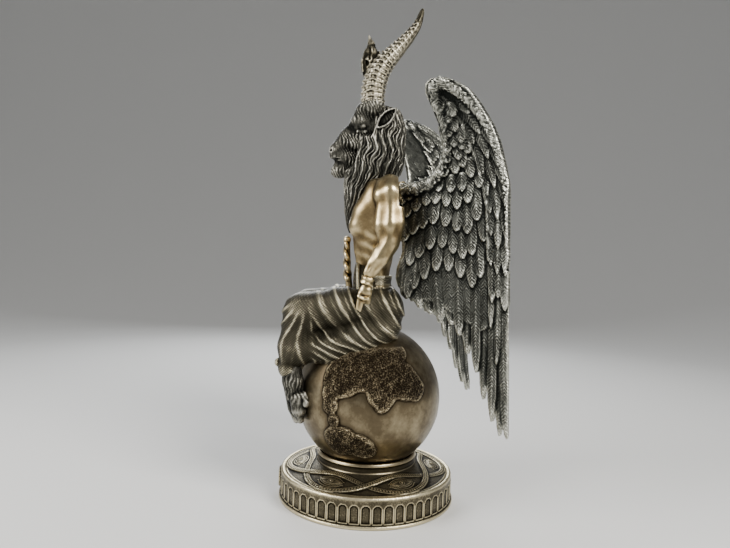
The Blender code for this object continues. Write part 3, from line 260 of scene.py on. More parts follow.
def surface_of(clay):
    """Smooth surface of a grid, with one point in each cell that the surface crosses."""
    grid = clay.distance
    inside = grid < 0
    count = 0
    for corner in itertools.product((0, 1), repeat=3):
        cut = tuple(slice(at, size - 1 + at) for at, size in zip(corner, grid.shape))
        count = count + inside[cut].astype(int)
    mixed = (count > 0) & (count < 8)
    number = np.full(mixed.shape, -1)
    number[mixed] = np.arange(mixed.sum())
    cells = np.argwhere(mixed)
    total = np.zeros((len(cells), 3))
    crossings = np.zeros(len(cells))
    for axis, first, second in itertools.product(range(3), (0, 1), (0, 1)):
        corner = np.insert((first, second), axis, 0)
        low = cells + corner
        high = low + np.eye(3, dtype=int)[axis]
        a, b = grid[tuple(low.T)], grid[tuple(high.T)]
        cross = (a < 0) != (b < 0)
        spot = np.tile(corner.astype(float), (len(cells), 1))
        spot[:, axis] += np.where(cross, a / np.where(cross, a - b, 1), 0)
        total += spot * cross[:, None]
        crossings += cross
    points = clay.low + clay.cell * (cells + total / crossings[:, None])
    faces = []
    for axis in range(3):
        one, two = (axis + 1) % 3, (axis + 2) % 3
        low = [slice(1, -1)] * 3
        high = [slice(1, -1)] * 3
        low[axis], high[axis] = slice(0, -1), slice(1, None)
        start, stop = inside[tuple(low)], inside[tuple(high)]
        for outward in (True, False):
            spots = np.argwhere(start & ~stop if outward else ~start & stop)
            ring = []
            for on_one, on_two in ((0, 0), (1, 0), (1, 1), (0, 1)):
                cell = spots.copy()
                cell[:, one] += on_one
                cell[:, two] += on_two
                ring.append(number[tuple(cell.T)])
            ring = np.stack(ring, 1)
            faces.append(ring if outward else ring[:, ::-1])
    return points, np.concatenate(faces)


def largest_body(points, faces):
    """Only the biggest of the separate pieces, by joining the labels of touching points."""
    label = np.arange(len(points))
    while True:
        lowest = label[faces].min(1)
        fresh = label.copy()
        for column in range(faces.shape[1]):
            np.minimum.at(fresh, faces[:, column], lowest)
        fresh = fresh[fresh]
        if (fresh == label).all():
            break
        label = fresh
    values, counts = np.unique(label[faces[:, 0]], return_counts=True)
    kept = faces[label[faces[:, 0]] == values[counts.argmax()]]
    used, index = np.unique(kept, return_inverse=True)
    return points[used], index.reshape(kept.shape)


def smoothed(points, pairs, rounds):
    """Each point drawn towards the mean of its neighbours, several times."""
    count = np.bincount(pairs.ravel(), minlength=len(points))[:, None]
    a, b = pairs.T
    for _ in range(rounds):
        sums = [np.bincount(a, points[b, i], len(points)) + np.bincount(b, points[a, i], len(points))
                for i in range(3)]
        total = np.stack(sums, 1)
        points = 0.5 * points + 0.5 * total / np.maximum(count, 1)
    return points


# How hollows are found, whose depth darkens the colour with patina and painted shade: rounds of smoothing
# for fine and broad ones, and the weight of the fine ones
NEAR_ROUNDS, FAR_ROUNDS = 4, 24
NEAR_WEIGHT = 1.6


def make_piece(name, points, faces, look, stands_for=(), extra=None, reach=1.0):
    """A piece of the figurine with the depth of its hollows stored on each point.

    The depth is positive in a hollow and negative on a ridge, in shares of reach, which is in millimetres.
    """
    mesh = bpy.data.meshes.new(name)
    mesh.vertices.add(len(points))
    mesh.vertices.foreach_set("co", np.asarray(points, np.float32).ravel())
    sides = faces.shape[1]
    mesh.loops.add(faces.size)
    mesh.loops.foreach_set("vertex_index", faces.astype(np.int32).ravel())
    mesh.polygons.add(len(faces))
    mesh.polygons.foreach_set("loop_start", np.arange(0, faces.size, sides, dtype=np.int32))
    mesh.update(calc_edges=True)
    mesh.shade_smooth()
    normals = np.empty(len(points) * 3, np.float32)
    mesh.vertices.foreach_get("normal", normals)
    normals = normals.reshape(-1, 3)
    pairs = np.empty(len(mesh.edges) * 2, np.int32)
    mesh.edges.foreach_get("vertices", pairs)
    pairs = pairs.reshape(-1, 2)
    near = smoothed(np.asarray(points, float), pairs, NEAR_ROUNDS)
    far = smoothed(near, pairs, FAR_ROUNDS)
    # This depth darkens the colour in the hollows: partly the patina of the casting, partly painted shade in
    # the recesses
    hollow = ((near - points) * normals).sum(1) * NEAR_WEIGHT + ((far - points) * normals).sum(1)
    store(mesh, "hollow", np.clip(hollow * 1000 / reach, -1, 1))
    for key, values in (extra or {}).items():
        store(mesh, key, values)
    obj = placed(name, mesh)
    mesh.materials.append(look)
    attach(obj, "root")
    if stands_for:
        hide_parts(*stands_for)


def store(mesh, key, values):
    attribute = mesh.attributes.new(key, "FLOAT", "POINT")
    attribute.data.foreach_set("value", np.asarray(values, np.float32))


# Looks: metals that are rubbed bright on their ridges and dark in their hollows, where both patina and
# painted shade are put into the colour
BUMP_DEPTH = 0.00022
WEAVE_PITCH = 0.0022
BARB_PITCH = 2.4
PLAIN_NOISE = (3.0, 0.6)


def node(tree, kind, inputs=(), **settings):
    made = tree.nodes.new(kind)
    for key, value in settings.items():
        setattr(made, key, value)
    for key, value in dict(inputs).items():
        if isinstance(value, bpy.types.NodeSocket):
            tree.links.new(value, made.inputs[key])
        else:
            made.inputs[key].default_value = value
    return made


def math_node(tree, operation, a, b=0.0, c=0.0):
    return node(tree, "ShaderNodeMath", {0: a, 1: b, 2: c}, operation=operation).outputs[0]


def ramp(tree, factor, stops):
    made = node(tree, "ShaderNodeValToRGB", {0: factor})
    elements = made.color_ramp.elements
    while len(elements) < len(stops):
        elements.new(0.5)
    for element, (position, colour) in zip(elements, stops):
        element.position = position
        element.color = (*colour, 1.0)
    return made.outputs[0]


def ranged(tree, value, low, high, to_low, to_high):
    return node(tree, "ShaderNodeMapRange", {0: value, 1: low, 2: high, 3: to_low, 4: to_high}).outputs[0]


def noise(tree, place, scale, detail=3.0, roughness=0.55):
    return node(tree, "ShaderNodeTexNoise", {"Vector": place, "Scale": scale, "Detail": detail,
                                            "Roughness": roughness}).outputs[0]


def attribute(tree, name):
    return node(tree, "ShaderNodeAttribute", attribute_name=name).outputs["Fac"]


def dots(tree, place, scale):
    """Round bumps at random places, 1 at their tops."""
    near = node(tree, "ShaderNodeTexVoronoi", {"Vector": place, "Scale": scale}).outputs["Distance"]
    return ranged(tree, near, 0.0, 0.62, 1.0, 0.0)


def stripes(tree, value, pitch):
    return math_node(tree, "SINE", math_node(tree, "MULTIPLY", value, 2 * math.pi / pitch))


def weave(tree, place):
    """Threads that cross at a slant, over and under."""
    parts = node(tree, "ShaderNodeSeparateXYZ", {0: place}).outputs
    slant = math_node(tree, "ADD", parts[1], math_node(tree, "MULTIPLY", parts[0], 0.35))
    up = math_node(tree, "ADD", parts[2], math_node(tree, "MULTIPLY", parts[0], 0.25))
    threads = stripes(tree, slant, WEAVE_PITCH), stripes(tree, up, 0.85 * WEAVE_PITCH)
    return math_node(tree, "MULTIPLY", *threads)


def barbs(tree, place):
    """Fine slanting lines on both sides of a feather's shaft, uneven as if cast from a carving."""
    along, across = attribute(tree, "along"), attribute(tree, "across")
    slope = math_node(tree, "MULTIPLY_ADD", math_node(tree, "ABSOLUTE", across), -1.0, along)
    slope = math_node(tree, "MULTIPLY_ADD", noise(tree, place, 230.0, 2.0), 4.2, slope)
    lines = stripes(tree, slope, BARB_PITCH)
    worn = ranged(tree, noise(tree, place, 190.0, 3.0), 0.35, 0.65, 0.15, 1.35)
    return math_node(tree, "MULTIPLY", lines, worn)


def fur(tree, place):
    """Short wavy hairs that hang down."""
    parts = node(tree, "ShaderNodeSeparateXYZ", {0: place}).outputs
    height = math_node(tree, "MULTIPLY", parts[2], 0.22)
    stretched = node(tree, "ShaderNodeCombineXYZ", {0: parts[0], 1: parts[1], 2: height}).outputs[0]
    return ranged(tree, noise(tree, stretched, 850.0, *PLAIN_NOISE), 0.35, 0.65, -1.0, 1.0)


def grit(tree, place):
    """The rough ground of the raised land: dark, with rubbed specks; nothing on the sea."""
    specks = noise(tree, place, 950.0, *PLAIN_NOISE)
    patches = noise(tree, place, 120.0, 2.0)
    raised = math_node(tree, "ADD", ranged(tree, specks, 0.30, 0.74, -4.4, 1.3),
                       ranged(tree, patches, 0.35, 0.65, -0.45, 0.55))
    return math_node(tree, "MULTIPLY", raised, attribute(tree, "land"))


def beads(tree, place):
    return dots(tree, place, 800.0)


def metal(name, hollow, middle, ridge, rough=(0.60, 0.46, 0.34), span=(0.08, 0.44, 0.66), grain=0.25,
          pitted=900.0, relief=None, relief_depth=0.0, relief_tint=0.0, patina=0.5, contrast=0.34,
          shade=0.0):
    """A cast metal: bright where its ridges are rubbed, dark in its hollows by patina and by painted shade,
    with uneven patina between.
    """
    look = bpy.data.materials.new(name)
    look.use_nodes = True
    tree = look.node_tree
    shader = tree.nodes["Principled BSDF"]
    place = node(tree, "ShaderNodeTexCoord").outputs["Object"]
    clouds = math_node(tree, "SUBTRACT", noise(tree, place, 75.0, 5.0, 0.6), 0.5)
    fine = math_node(tree, "SUBTRACT", noise(tree, place, pitted, 4.0, 0.6), 0.5)
    # The hollow depth pushes the level towards the dark hollow colour: patina in the hollows and painted
    # shade in the recesses
    level = math_node(tree, "MULTIPLY_ADD", clouds, 1.6 * patina, attribute(tree, "hollow"))
    level = math_node(tree, "MULTIPLY_ADD", fine, 2.2 * grain, level)
    height = math_node(tree, "MULTIPLY", fine, 1.2 * grain)
    if relief:
        # The carving's grooves are coloured darker and its raised parts lighter: patina in the grooves and
        # painted shade in them
        carved = relief(tree, place)
        level = math_node(tree, "MULTIPLY_ADD", carved, -relief_tint, level)
        height = math_node(tree, "MULTIPLY_ADD", carved, relief_depth, height)
    level = math_node(tree, "MULTIPLY_ADD", level, contrast, 0.5 + shade)
    # Colour runs from the rubbed ridge colour through the middle to the hollow colour, which holds patina
    # and painted shade
    colour = ramp(tree, level, ((span[0], ridge), (span[1], middle), (span[2], hollow)))
    tree.links.new(colour, shader.inputs["Base Color"])
    gloss = ramp(tree, level, tuple((at, (value, value, value)) for at, value in zip(span, reversed(rough))))
    tree.links.new(gloss, shader.inputs["Roughness"])
    shader.inputs["Metallic"].default_value = 1.0
    bump = node(tree, "ShaderNodeBump", {"Strength": 1.0, "Distance": BUMP_DEPTH, "Height": height})
    tree.links.new(bump.outputs[0], shader.inputs["Normal"])
    return look


# Each look's first colour is its hollow colour, near black: dark patina together with painted shade of the
# recesses
SKIN = metal("gold_brown_bronze", (0.024, 0.016, 0.008), (0.195, 0.142, 0.070), (0.70, 0.57, 0.33),
             rough=(0.50, 0.36, 0.28), span=(0.14, 0.50, 0.74), grain=0.20, pitted=620.0, patina=0.7,
             contrast=0.44)
CLOTH = metal("dark_woven_bronze", (0.020, 0.018, 0.012), (0.058, 0.052, 0.036), (0.66, 0.60, 0.43),
              relief=weave, relief_depth=0.8, relief_tint=0.34, grain=0.35, span=(0.14, 0.46, 0.80),
              contrast=0.27, shade=0.06, patina=0.8)
HAIR = metal("black_silver_hair", (0.008, 0.008, 0.007), (0.060, 0.058, 0.048), (0.52, 0.50, 0.43),
             relief=fur, relief_depth=0.6, relief_tint=0.25, grain=0.3, span=(0.14, 0.46, 0.72),
             contrast=0.33, shade=0.10, patina=0.9)
HORN = metal("pale_horn_bronze", (0.010, 0.009, 0.006), (0.100, 0.090, 0.064), (0.70, 0.64, 0.49),
             relief=fur, relief_depth=0.4, relief_tint=0.22, grain=0.3, span=(0.12, 0.46, 0.66),
             contrast=0.48, shade=0.24)
WING = metal("silvered_wing_bronze", (0.009, 0.010, 0.009), (0.078, 0.080, 0.070), (0.62, 0.62, 0.54),
             relief=barbs, relief_depth=0.8, relief_tint=0.27, grain=0.35, span=(0.10, 0.46, 0.70),
             contrast=0.36, shade=0.03)
GLOBE = metal("globe_bronze", (0.014, 0.010, 0.006), (0.128, 0.100, 0.060), (0.56, 0.48, 0.31),
              relief=grit, relief_depth=1.0, relief_tint=0.52, grain=0.12, span=(0.06, 0.46, 0.78),
              rough=(0.55, 0.33, 0.27), pitted=420.0, patina=1.05)
STONE = metal("olive_plinth_bronze", (0.012, 0.010, 0.006), (0.100, 0.086, 0.056), (0.66, 0.58, 0.38),
              relief=beads, relief_depth=0.5, relief_tint=0.20, grain=0.3, contrast=0.42)
RING = metal("collar_bronze", (0.014, 0.011, 0.006), (0.080, 0.067, 0.043), (0.50, 0.42, 0.27), grain=0.14,
             rough=(0.5, 0.36, 0.30))


# Torso, arms and hands
TORSO_Z = (148, 158, 166, 174, 184, 196, 208, 220, 232, 242, 250)
TORSO_MIDDLE = (12.5, 11.5, 11, 10.8, 8.8, 7.8, 7.5, 8.5, 10.5, 13, 13)
TORSO_HALF_WIDTH = (24, 22, 20, 18.5, 19.5, 22, 25, 27, 29, 24, 13)
TORSO_HALF_DEPTH = (12, 10, 8.8, 9, 13, 16, 17, 17, 15, 11, 8)
TORSO_OVALS = (TORSO_Z, TORSO_MIDDLE, TORSO_HALF_WIDTH, TORSO_HALF_DEPTH)
RIB_PITCH = 8.5
TORSO_SIDE = (
    (3, (20, 8, 236, 8), (15, 0, 222, 8.5), (13.5, -4, 211.5, 8.5)),
    (4, (4, -4, 243, 3), (24, 10, 244, 3)),
    (5, (26, 20, 234, 9), (20, 20, 205, 8)),
    (3, (8, -4, 196, 4.5), (8, -2.5, 180, 4)),
)


def trunk(x, y, z):
    """The trunk with its ribs and the groove of the spine, flat at both ends."""
    middle, a, b = oval_at(z, TORSO_OVALS)
    k = np.sqrt((x / a) ** 2 + ((y - middle) / b) ** 2)
    ribs = np.cos(2 * math.pi * (z + 0.55 * y - 0.1 * np.abs(x)) / RIB_PITCH)
    where = step(z, 178, 186) * (1 - step(z, 200, 212)) * step(np.abs(x), 4, 10) * (1 - step(y, 12, 22))
    spine = hump(x, 4.0) * step(y, 10, 20)
    body = (k - 1) * np.minimum(a, b) - 0.9 * ribs * where + 1.6 * spine
    return np.maximum(body, np.maximum(TORSO_Z[0] - z, z - TORSO_Z[-1]))


def add_torso(clay):
    clay.press(trunk, (-30, -10, TORSO_Z[0]), (30, 28, TORSO_Z[-1]), 3)
    clay.limb([(0, 14, 238, 12), (0, 9, 262, 12), (0, 8, 276, 11)], 6)
    press_all(clay, TORSO_SIDE, BOTH)
    clay.limb([(0, -8.5, 196, 1.0), (0, -6.2, 176, 1.0)], 1.5, cut=True)


LEFT_ARM = (
    (3, (29, 18.5, 238, 9, 9.5, 10)),
    (2.4, (30.5, 13.5, 242, 4.4), (34.5, 11.6, 233, 4.8), (37, 14.5, 223, 3.0)),
    (2.4, (31, 19.0, 244, 5.0), (37, 18.8, 236, 5.6), (40, 18.6, 223, 2.8)),
    (2.4, (30, 24.5, 242, 4.4), (35, 25.0, 233, 4.8), (38, 22.5, 222, 2.8)),
    (2, (33, 18.5, 230, 7.0), (36, 18.5, 212, 7.0), (38, 19.0, 198, 6.0)),
    (1.8, (35.5, 12.0, 224, 3.8), (37.6, 11.6, 211, 4.9), (38.6, 13.0, 200, 3.4)),
    (1.8, (37.5, 25.0, 225, 3.6), (38.6, 25.0, 212, 4.2), (38.6, 23.0, 201, 3.2)),
    (1.8, (40.2, 18.8, 222, 3.4), (41.8, 18.4, 211, 4.1), (41.4, 17.6, 201, 2.8)),
    (2, (38, 18.4, 197, 6.2), (38.5, 12.5, 188.5, 6.3), (38, 4.6, 176.5, 4.0), (38, 1.6, 170, 3.4)),
    (1.8, (42.0, 17.0, 199, 2.6), (43.4, 10, 187, 2.4), (41.0, 3.2, 176, 1.5)),
    (1.8, (40.0, 20.5, 195, 2.4), (42.4, 15.0, 186, 2.2), (40.6, 7.6, 177, 1.5)),
    (1.8, (39.5, 9, 194, 2.6), (40.5, 3.4, 184, 2.0), (40, 0.2, 176, 1.3)),
)
RIGHT_ARM = (
    (2.5, (-31.5, 17.5, 235, 10, 10.5, 12.5)),
    (2.5, (-33, 16, 231, 8), (-42, 3, 221, 8.2), (-48, -7.5, 213.5, 6.4)),
    (1.4, (-36, 8, 231, 4.6), (-43, -1.5, 225, 5.4), (-47.5, -7, 219.5, 4)),
    (2, (-48, -8, 213.5, 6.4), (-49.5, -11, 228, 6.6), (-50, -12.6, 247, 4.6), (-50, -12.8, 258, 3.7)),
    (0.9, (-53.5, -10, 218, 2.4), (-54.2, -12.4, 232, 2.2), (-52, -13.4, 248, 1.4)),
)


def add_arms(clay):
    press_all(clay, LEFT_ARM)
    add_bracelet(clay, (38, 1.7, 170.2), (0.0, 0.30, 0.95))
    add_hand(clay, (39, 0.6, 162.6), (0.03, -0.22, -1.0), (0.25, 1.0, -0.2))
    press_all(clay, RIGHT_ARM)
    add_bracelet(clay, (-50, -12.8, 252), (0.0, 0.0, 1.0))
    add_hand(clay, (-50, -12.4, 263), (0.0, 0.12, 1.0), (1.0, 0.1, 0.0))


BRACELET_RADIUS = 4.7
BRACELET_HALF = 2.6
BRACELET_EDGE = 0.5


def add_bracelet(clay, centre, along):
    """A band round a wrist, with a raised edge at its top and its foot."""
    centre, along = np.array(centre, float), unit(along)

    def band(x, y, z):
        d = (x - centre[0], y - centre[1], z - centre[2])
        up = sum(o * v for o, v in zip(d, along))
        away = np.sqrt(np.maximum(sum(o * o for o in d) - up * up, 0))
        edge = BRACELET_EDGE * (np.abs(up) > BRACELET_HALF - 1.2)
        return np.maximum(away - BRACELET_RADIUS - edge, np.abs(up) - BRACELET_HALF)
    reach = BRACELET_RADIUS + BRACELET_HALF
    clay.press(band, centre - reach, centre + reach, 0.3)


FINGER_SPREAD = 2.35
FINGER_REACH = 14.5
FINGER_RADIUS = 1.45


def add_hand(clay, palm, forward, across):
    """A hand with two fingers stretched out and two closed, with the thumb over them."""
    palm, forward, across = np.array(palm, float), unit(forward), unit(across)
    inward = np.cross(across, forward)
    spread = 3.5 * np.abs(across) + 4.9 * np.abs(forward) + 2.2 * np.abs(inward)
    clay.ball(palm, spread, 1.5)
    for number in range(4):
        root = palm + forward * 4.2 + across * FINGER_SPREAD * (number - 1.5)
        if number < 2:
            tip = root + forward * (FINGER_REACH - 5 + number)
            clay.limb([(*root, FINGER_RADIUS + 0.2), (*tip, FINGER_RADIUS - 0.3)], 0.6)
        else:
            bend = root + forward * 3.4
            back = root - inward * 3.0 + forward * 0.6
            clay.limb([(*root, FINGER_RADIUS + 0.2), (*bend, FINGER_RADIUS), (*back, FINGER_RADIUS)], 0.6)
    thumb = palm - across * 3.6
    clay.limb([(*thumb, 1.7), (*(thumb + forward * 4.5 - inward * 2.2), 1.5),
               (*(palm + forward * 5.6 - inward * 3.6 + across * 1.2), 1.3)], 0.6)


# Trousers, belt, legs and hooves
FOLD_LEVELS = (112, 120, 125, 132, 147, 165)
FOLD_DRIFT = (46, 30, 19, 11, 0, -8)
FOLD_PITCH = 11.3
KNEE_FAN = (-44.0, 160.0)
KNEE_FOLDS = 20
FOLD_DEPTH = 1.3
FOLD_CENTRE = 0.4
HEM_Z = 102.0


def ridge(phase):
    """1 along each fold's crest, falling quickly to 0 between the crests."""
    return (1 - np.abs(np.sin(math.pi * phase))) ** 1.5


def folds(x, y, z):
    """Pleats that sweep from the lap down and back over the seat, and a fan of them below the knee."""
    sweep = (y - through(z, FOLD_LEVELS, FOLD_DRIFT)) / FOLD_PITCH + 0.12 * np.sin(0.19 * y + 0.05 * z)
    thigh = ridge(sweep + 0.46) + 0.35 * ridge(2.3 * sweep + 0.2)
    knee_angle = np.arctan2(y - KNEE_FAN[0], KNEE_FAN[1] - z) + 0.06 * np.sin(0.16 * z)
    knee = ridge(KNEE_FOLDS * knee_angle / (2 * math.pi) + 0.94 + 0.01 * np.abs(x))
    share = step(y, -44, -32)
    below = step(np.hypot(y - KNEE_FAN[0], z - KNEE_FAN[1]), 10, 24)
    return (thigh - FOLD_CENTRE) * share + (knee - FOLD_CENTRE) * (1 - share) * below


LEGS = (
    (5, (17, 14, 147, 16), (22, -18, 148.8, 15.4), (25, -46, 145.6, 15.2)),
    (4, (25, -46, 145, 15.2), (25, -53.5, 120, 12.2), (25, -57.0, 105, 7.6)),
    (6, (28, -47, 118, 9.5), (29, -25, 119, 11), (28, -3, 126, 12), (23, 15, 134, 12)),
    (6, (20, -42, 124, 10), (18, -18, 134, 11)),
)
HEMS = (
    (0.6, (25, -57.2, 105.4, 8.4), (25, -57.2, 104.2, 8.4)),
    (0.8, (25, -66.0, 108.5, 2.2, 2.2, 3.2)),
)
BELT_RINGS = ((163.0, 1.6), (167.5, 1.0), (171.5, 1.6))


def add_trousers(clay):
    cloth = clay.like()
    cloth.ball((0, 14.5, 149), (30, 15.5, 17), 4)
    press_all(cloth, LEGS, BOTH)
    x, y, z = cloth.everywhere()
    cloth.swell(FOLD_DEPTH * folds(x, y, z))
    cloth.distance = -soft_min(-cloth.distance, z - HEM_Z, 1.0)
    clay.distance = soft_min(clay.distance, cloth.distance, 0.8)
    press_all(clay, HEMS, BOTH)
    for level, swell in BELT_RINGS:
        low, high = (-27, -8, level - 3), (27, 28, level + 3)
        clay.press(lambda x, y, z: belt(x, y, z, level, swell), low, high, 0.6)


def belt(x, y, z, level, swell):
    middle, a, b = oval_at(level, TORSO_OVALS)
    a, b = a + swell, b + swell
    k = np.sqrt((x / a) ** 2 + ((y - middle) / b) ** 2)
    return np.maximum((k - 1) * b, np.abs(z - level) - 2.0)


HOOVES = (
    (1.5, (25, -55.6, 106, 7.6), (26, -54.2, 94, 7.8), (26.5, -52.8, 85, 7.3)),
    (1.5, (31, -46, 84, 3.6), (33, -44, 79, 3.2)),
    (0.4, (30, -50.0, 82, 6.2), (30.5, -49.2, 74, 5.8), (29.6, -48.4, 66.0, 3.0)),
    (0.4, (23.2, -54.4, 82, 5.8), (22.8, -53.4, 74, 5.4), (23.4, -51.9, 64.3, 2.7)),
)


def add_hooves(clay):
    press_all(clay, HOOVES, BOTH)


# Goat head, hair, horns, ears and flame
HAIR_Z = (207, 211, 218, 226, 235, 245, 256, 268, 281, 293, 303, 308)
HAIR_MIDDLE = (-11.5, -11, -9.6, -7.6, -3.5, 3.0, 7.0, 9.2, 10.8, 11.8, 11.4, 11.0)
HAIR_HALF_WIDTH = (1.0, 4, 8, 12, 16, 19, 20.5, 20.5, 19, 16.5, 12, 7)
HAIR_HALF_DEPTH = (1.0, 3, 5.6, 8.2, 12.5, 19.5, 22.0, 22.2, 21, 19.0, 15.5, 10)
HAIR_OVALS = (HAIR_Z, HAIR_MIDDLE, HAIR_HALF_WIDTH, HAIR_HALF_DEPTH)
LOCK_WAVE = 22.0


HEAD_SIDE = (
    (2, (11, 2, 293.5, 3.4), (8.5, -6, 293.5, 3.6), (4, -9.5, 291, 3)),
    (4.0, (8.8, -3, 277.0, 4.4, 9.0, 6.4)),
    (-1.2, (13.2, -1.6, 288.0, 2.4, 3.8, 2.4)),
    (0.3, (11.6, -1.0, 287.6, 1.6, 2.1, 1.6)),
    (-0.5, (3.4, -27.5, 274.6, 1.3), (5.8, -25, 276.2, 1.0)),
    (-0.6, (7.5, -14, 266.4, 0.9), (3.5, -25, 264.2, 0.9), (0, -29, 263.6, 0.9)),
    (3, (6.5, -1.5, 293, 8.6), (6.8, 0.5, 300, 8.2)),
)


def add_head(clay):
    clay.ball((0, 7.8, 291.0), (14.5, 19, 16), 3)
    clay.limb([(0, 3, 285, 13.5), (0, -9.5, 280.6, 10.6), (0, -20.6, 271.2, 7.8)], 3, squeeze=1.18)
    clay.limb([(0, 4, 268, 10), (0, -12, 261.5, 6.8), (0, -20.8, 255.6, 5.6)], 2, squeeze=1.15)
    for side in BOTH:
        press_all(clay, HEAD_SIDE, (side,))
        add_ear(clay, side)
    clay.limb([(0, -21, 262, 3.2), (0, -22.5, 255.5, 4.6)], 1.5)


EAR_ROOT = (17.0, 9.0, 285.6)
EAR_TIP = (24.0, 24.0, 299.6)
EAR_HALF_WIDTH = 4.6
EAR_HALF_THICKNESS = 2.2
EAR_RIM = 1.3
EAR_FLOOR = -0.3


def add_ear(clay, side):
    """A leaf-shaped ear, pointed at both ends, with a raised rim round its hollow, open to the side."""
    root = np.array(EAR_ROOT) * (side, 1, 1)
    tip = np.array(EAR_TIP) * (side, 1, 1)
    half = np.linalg.norm(tip - root) / 2
    along = (tip - root) / (2 * half)
    across = unit(np.cross(along, (side, 0, 0)))
    outward = np.cross(across, along)
    centre = (root + tip) / 2
    arc = (half ** 2 + EAR_HALF_WIDTH ** 2) / (2 * EAR_HALF_WIDTH)

    def turned(x, y, z):
        d = (x - centre[0], y - centre[1], z - centre[2])
        out, wide, long = (sum(o * v for o, v in zip(d, axis)) for axis in (outward, across, along))
        edge = np.hypot(np.abs(wide) + arc - EAR_HALF_WIDTH, long) - arc
        return out, edge

    def leaf(x, y, z):
        out, edge = turned(x, y, z)
        return np.maximum(edge, np.abs(out) - EAR_HALF_THICKNESS)

    def hollow(x, y, z):
        out, edge = turned(x, y, z)
        return np.maximum(edge + EAR_RIM, EAR_FLOOR - out)
    low, high = centre - half, centre + half
    clay.press(leaf, low, high, 0.8)
    clay.press(hollow, low, high, 0.4, cut=True)


HORN_LINE = ((10.5, 6.2, 301), (10.8, 6.3, 315), (10.8, 9.0, 326), (10.8, 14.2, 335.6), (11, 21.4, 343.6),
             (11.6, 31.6, 354.4), (12.6, 39.6, 364.5), (14, 44.4, 377.0))
HORN_RADII = (9.2, 9.3, 9.0, 8.0, 6.8, 5.0, 3.5, 1.5)
RIGHT_HORN_SHIFT = (-2.4, 2.2)
RING_PITCH = 3.9


def horn_knots(side, steps):
    """Knots along the smooth horn line, evenly spread by length, with each knot's length from the root."""
    coarse = np.linspace(0, len(HORN_LINE) - 1, 400)
    index = range(len(HORN_LINE))
    line = np.stack([through(coarse, index, [p[i] for p in HORN_LINE]) for i in range(3)], 1)
    radius = through(coarse, index, HORN_RADII)
    lengths = np.concatenate([[0], np.cumsum(np.linalg.norm(np.diff(line, axis=0), axis=1))])
    even = np.linspace(0, lengths[-1], steps)
    spots = [np.interp(even, lengths, line[:, i]) for i in range(3)]
    if side < 0:
        raised = step(even / lengths[-1], 0.15, 0.6)
        spots[1] = spots[1] + RIGHT_HORN_SHIFT[0] * raised
        spots[2] = spots[2] + RIGHT_HORN_SHIFT[1] * raised * (1 - step(even / lengths[-1], 0.7, 1.0))
    return np.stack([side * spots[0], spots[1], spots[2], np.interp(even, lengths, radius)], 1), even


# Each slot of the flame, as its place from front to back, its foot and its tip
FLAME_SLOTS = ((1.0, 335, 342), (3.4, 341, 353), (6.4, 341, 352), (10.6, 343, 348))


FLAME = (
    (1.5, (0, 5, 302, 4.5), (0, 4.2, 318, 3.0), (0, 3.6, 327, 3.2), (0, 3.6, 331, 5.0)),
    (1.5, (0, 3.4, 331, 5.0), (0, 3.4, 339, 6.4), (0, 4.6, 348, 5.4), (0, 5.0, 355, 2.8),
     (0, 3.4, 361.5, 0.7)),
    (1.0, (0, 7.0, 338, 4.6), (0, 9.8, 344, 3.2), (0, 11.4, 349.5, 0.8)),
)
FLAME_SIDE = (
    (0.8, (3.4, 3.2, 332, 3.4), (5.0, 3.4, 341, 3.0), (3.0, 5.0, 351.5, 0.7)),
    (0.6, (3, -0.8, 334, 2.0), (3.4, -1.2, 341, 1.8), (2.2, 0.8, 350, 0.6)),
)


def add_flame(clay):
    """A torch's stem and a bud of pointed tongues of fire, with slots between them."""
    press_all(clay, FLAME)
    for side in BOTH:
        press_all(clay, FLAME_SIDE, (side,))
        for slot, low, high in FLAME_SLOTS:
            clay.limb([(side * 8.4, slot, low, 1.0), (side * 7.0, slot + 0.7, (low + high) / 2, 1.5),
                       (side * 4.6, slot + 0.3, high, 0.5)], 0.6, cut=True)


# Scaled belly plate and the staff with two serpents
PLATE_CENTRE = (0, -1.6, 165.0)
PLATE_RADIUS = 21.0
STAFF_FOOT = (0, -12.0, 158)
STAFF_TOP = (0, -13.9, 199)


def add_belly_plate(clay):
    cx, cy, cz = PLATE_CENTRE

    def plate(x, y, z):
        r = np.hypot(x - cx, z - cz)
        bowl = cy - 7.5 * np.sqrt(np.maximum(1 - (r / (PLATE_RADIUS + 6)) ** 2, 0))
        return np.maximum(np.maximum(r - PLATE_RADIUS, bowl - y), y - (cy + 8))

    def rim(x, y, z):
        r = np.hypot(x - cx, z - cz)
        return np.hypot(r - PLATE_RADIUS + 0.6, y - (cy - 3.6)) - 1.5
    low, high = (-24, -12, 156), (24, 8, 188)
    clay.press(plate, low, high, 1.0)
    clay.press(lambda x, y, z: np.maximum(rim(x, y, z), 158 - z), low, high, 0.5)


def add_staff(clay):
    clay.limb([(*STAFF_FOOT, 3.0), (0, -13.4, 176, 2.4), (*STAFF_TOP, 2.2)], 0.6)
    clay.ball((0, -14.0, 201.5), (3.0, 3.0, 3.0), 0.4)
    for turn in (0.0, math.pi):
        knots = []
        for level in np.linspace(0, 1, 30):
            angle = turn + 3.1 * math.pi * level
            reach = 3.6 - 1.6 * level
            knots.append((reach * math.cos(angle) * 1.5, -13.7 - level - reach * 0.5 * math.sin(angle),
                          170 + 29 * level, 1.9 - 0.5 * level))
        clay.limb(knots, 0.4)


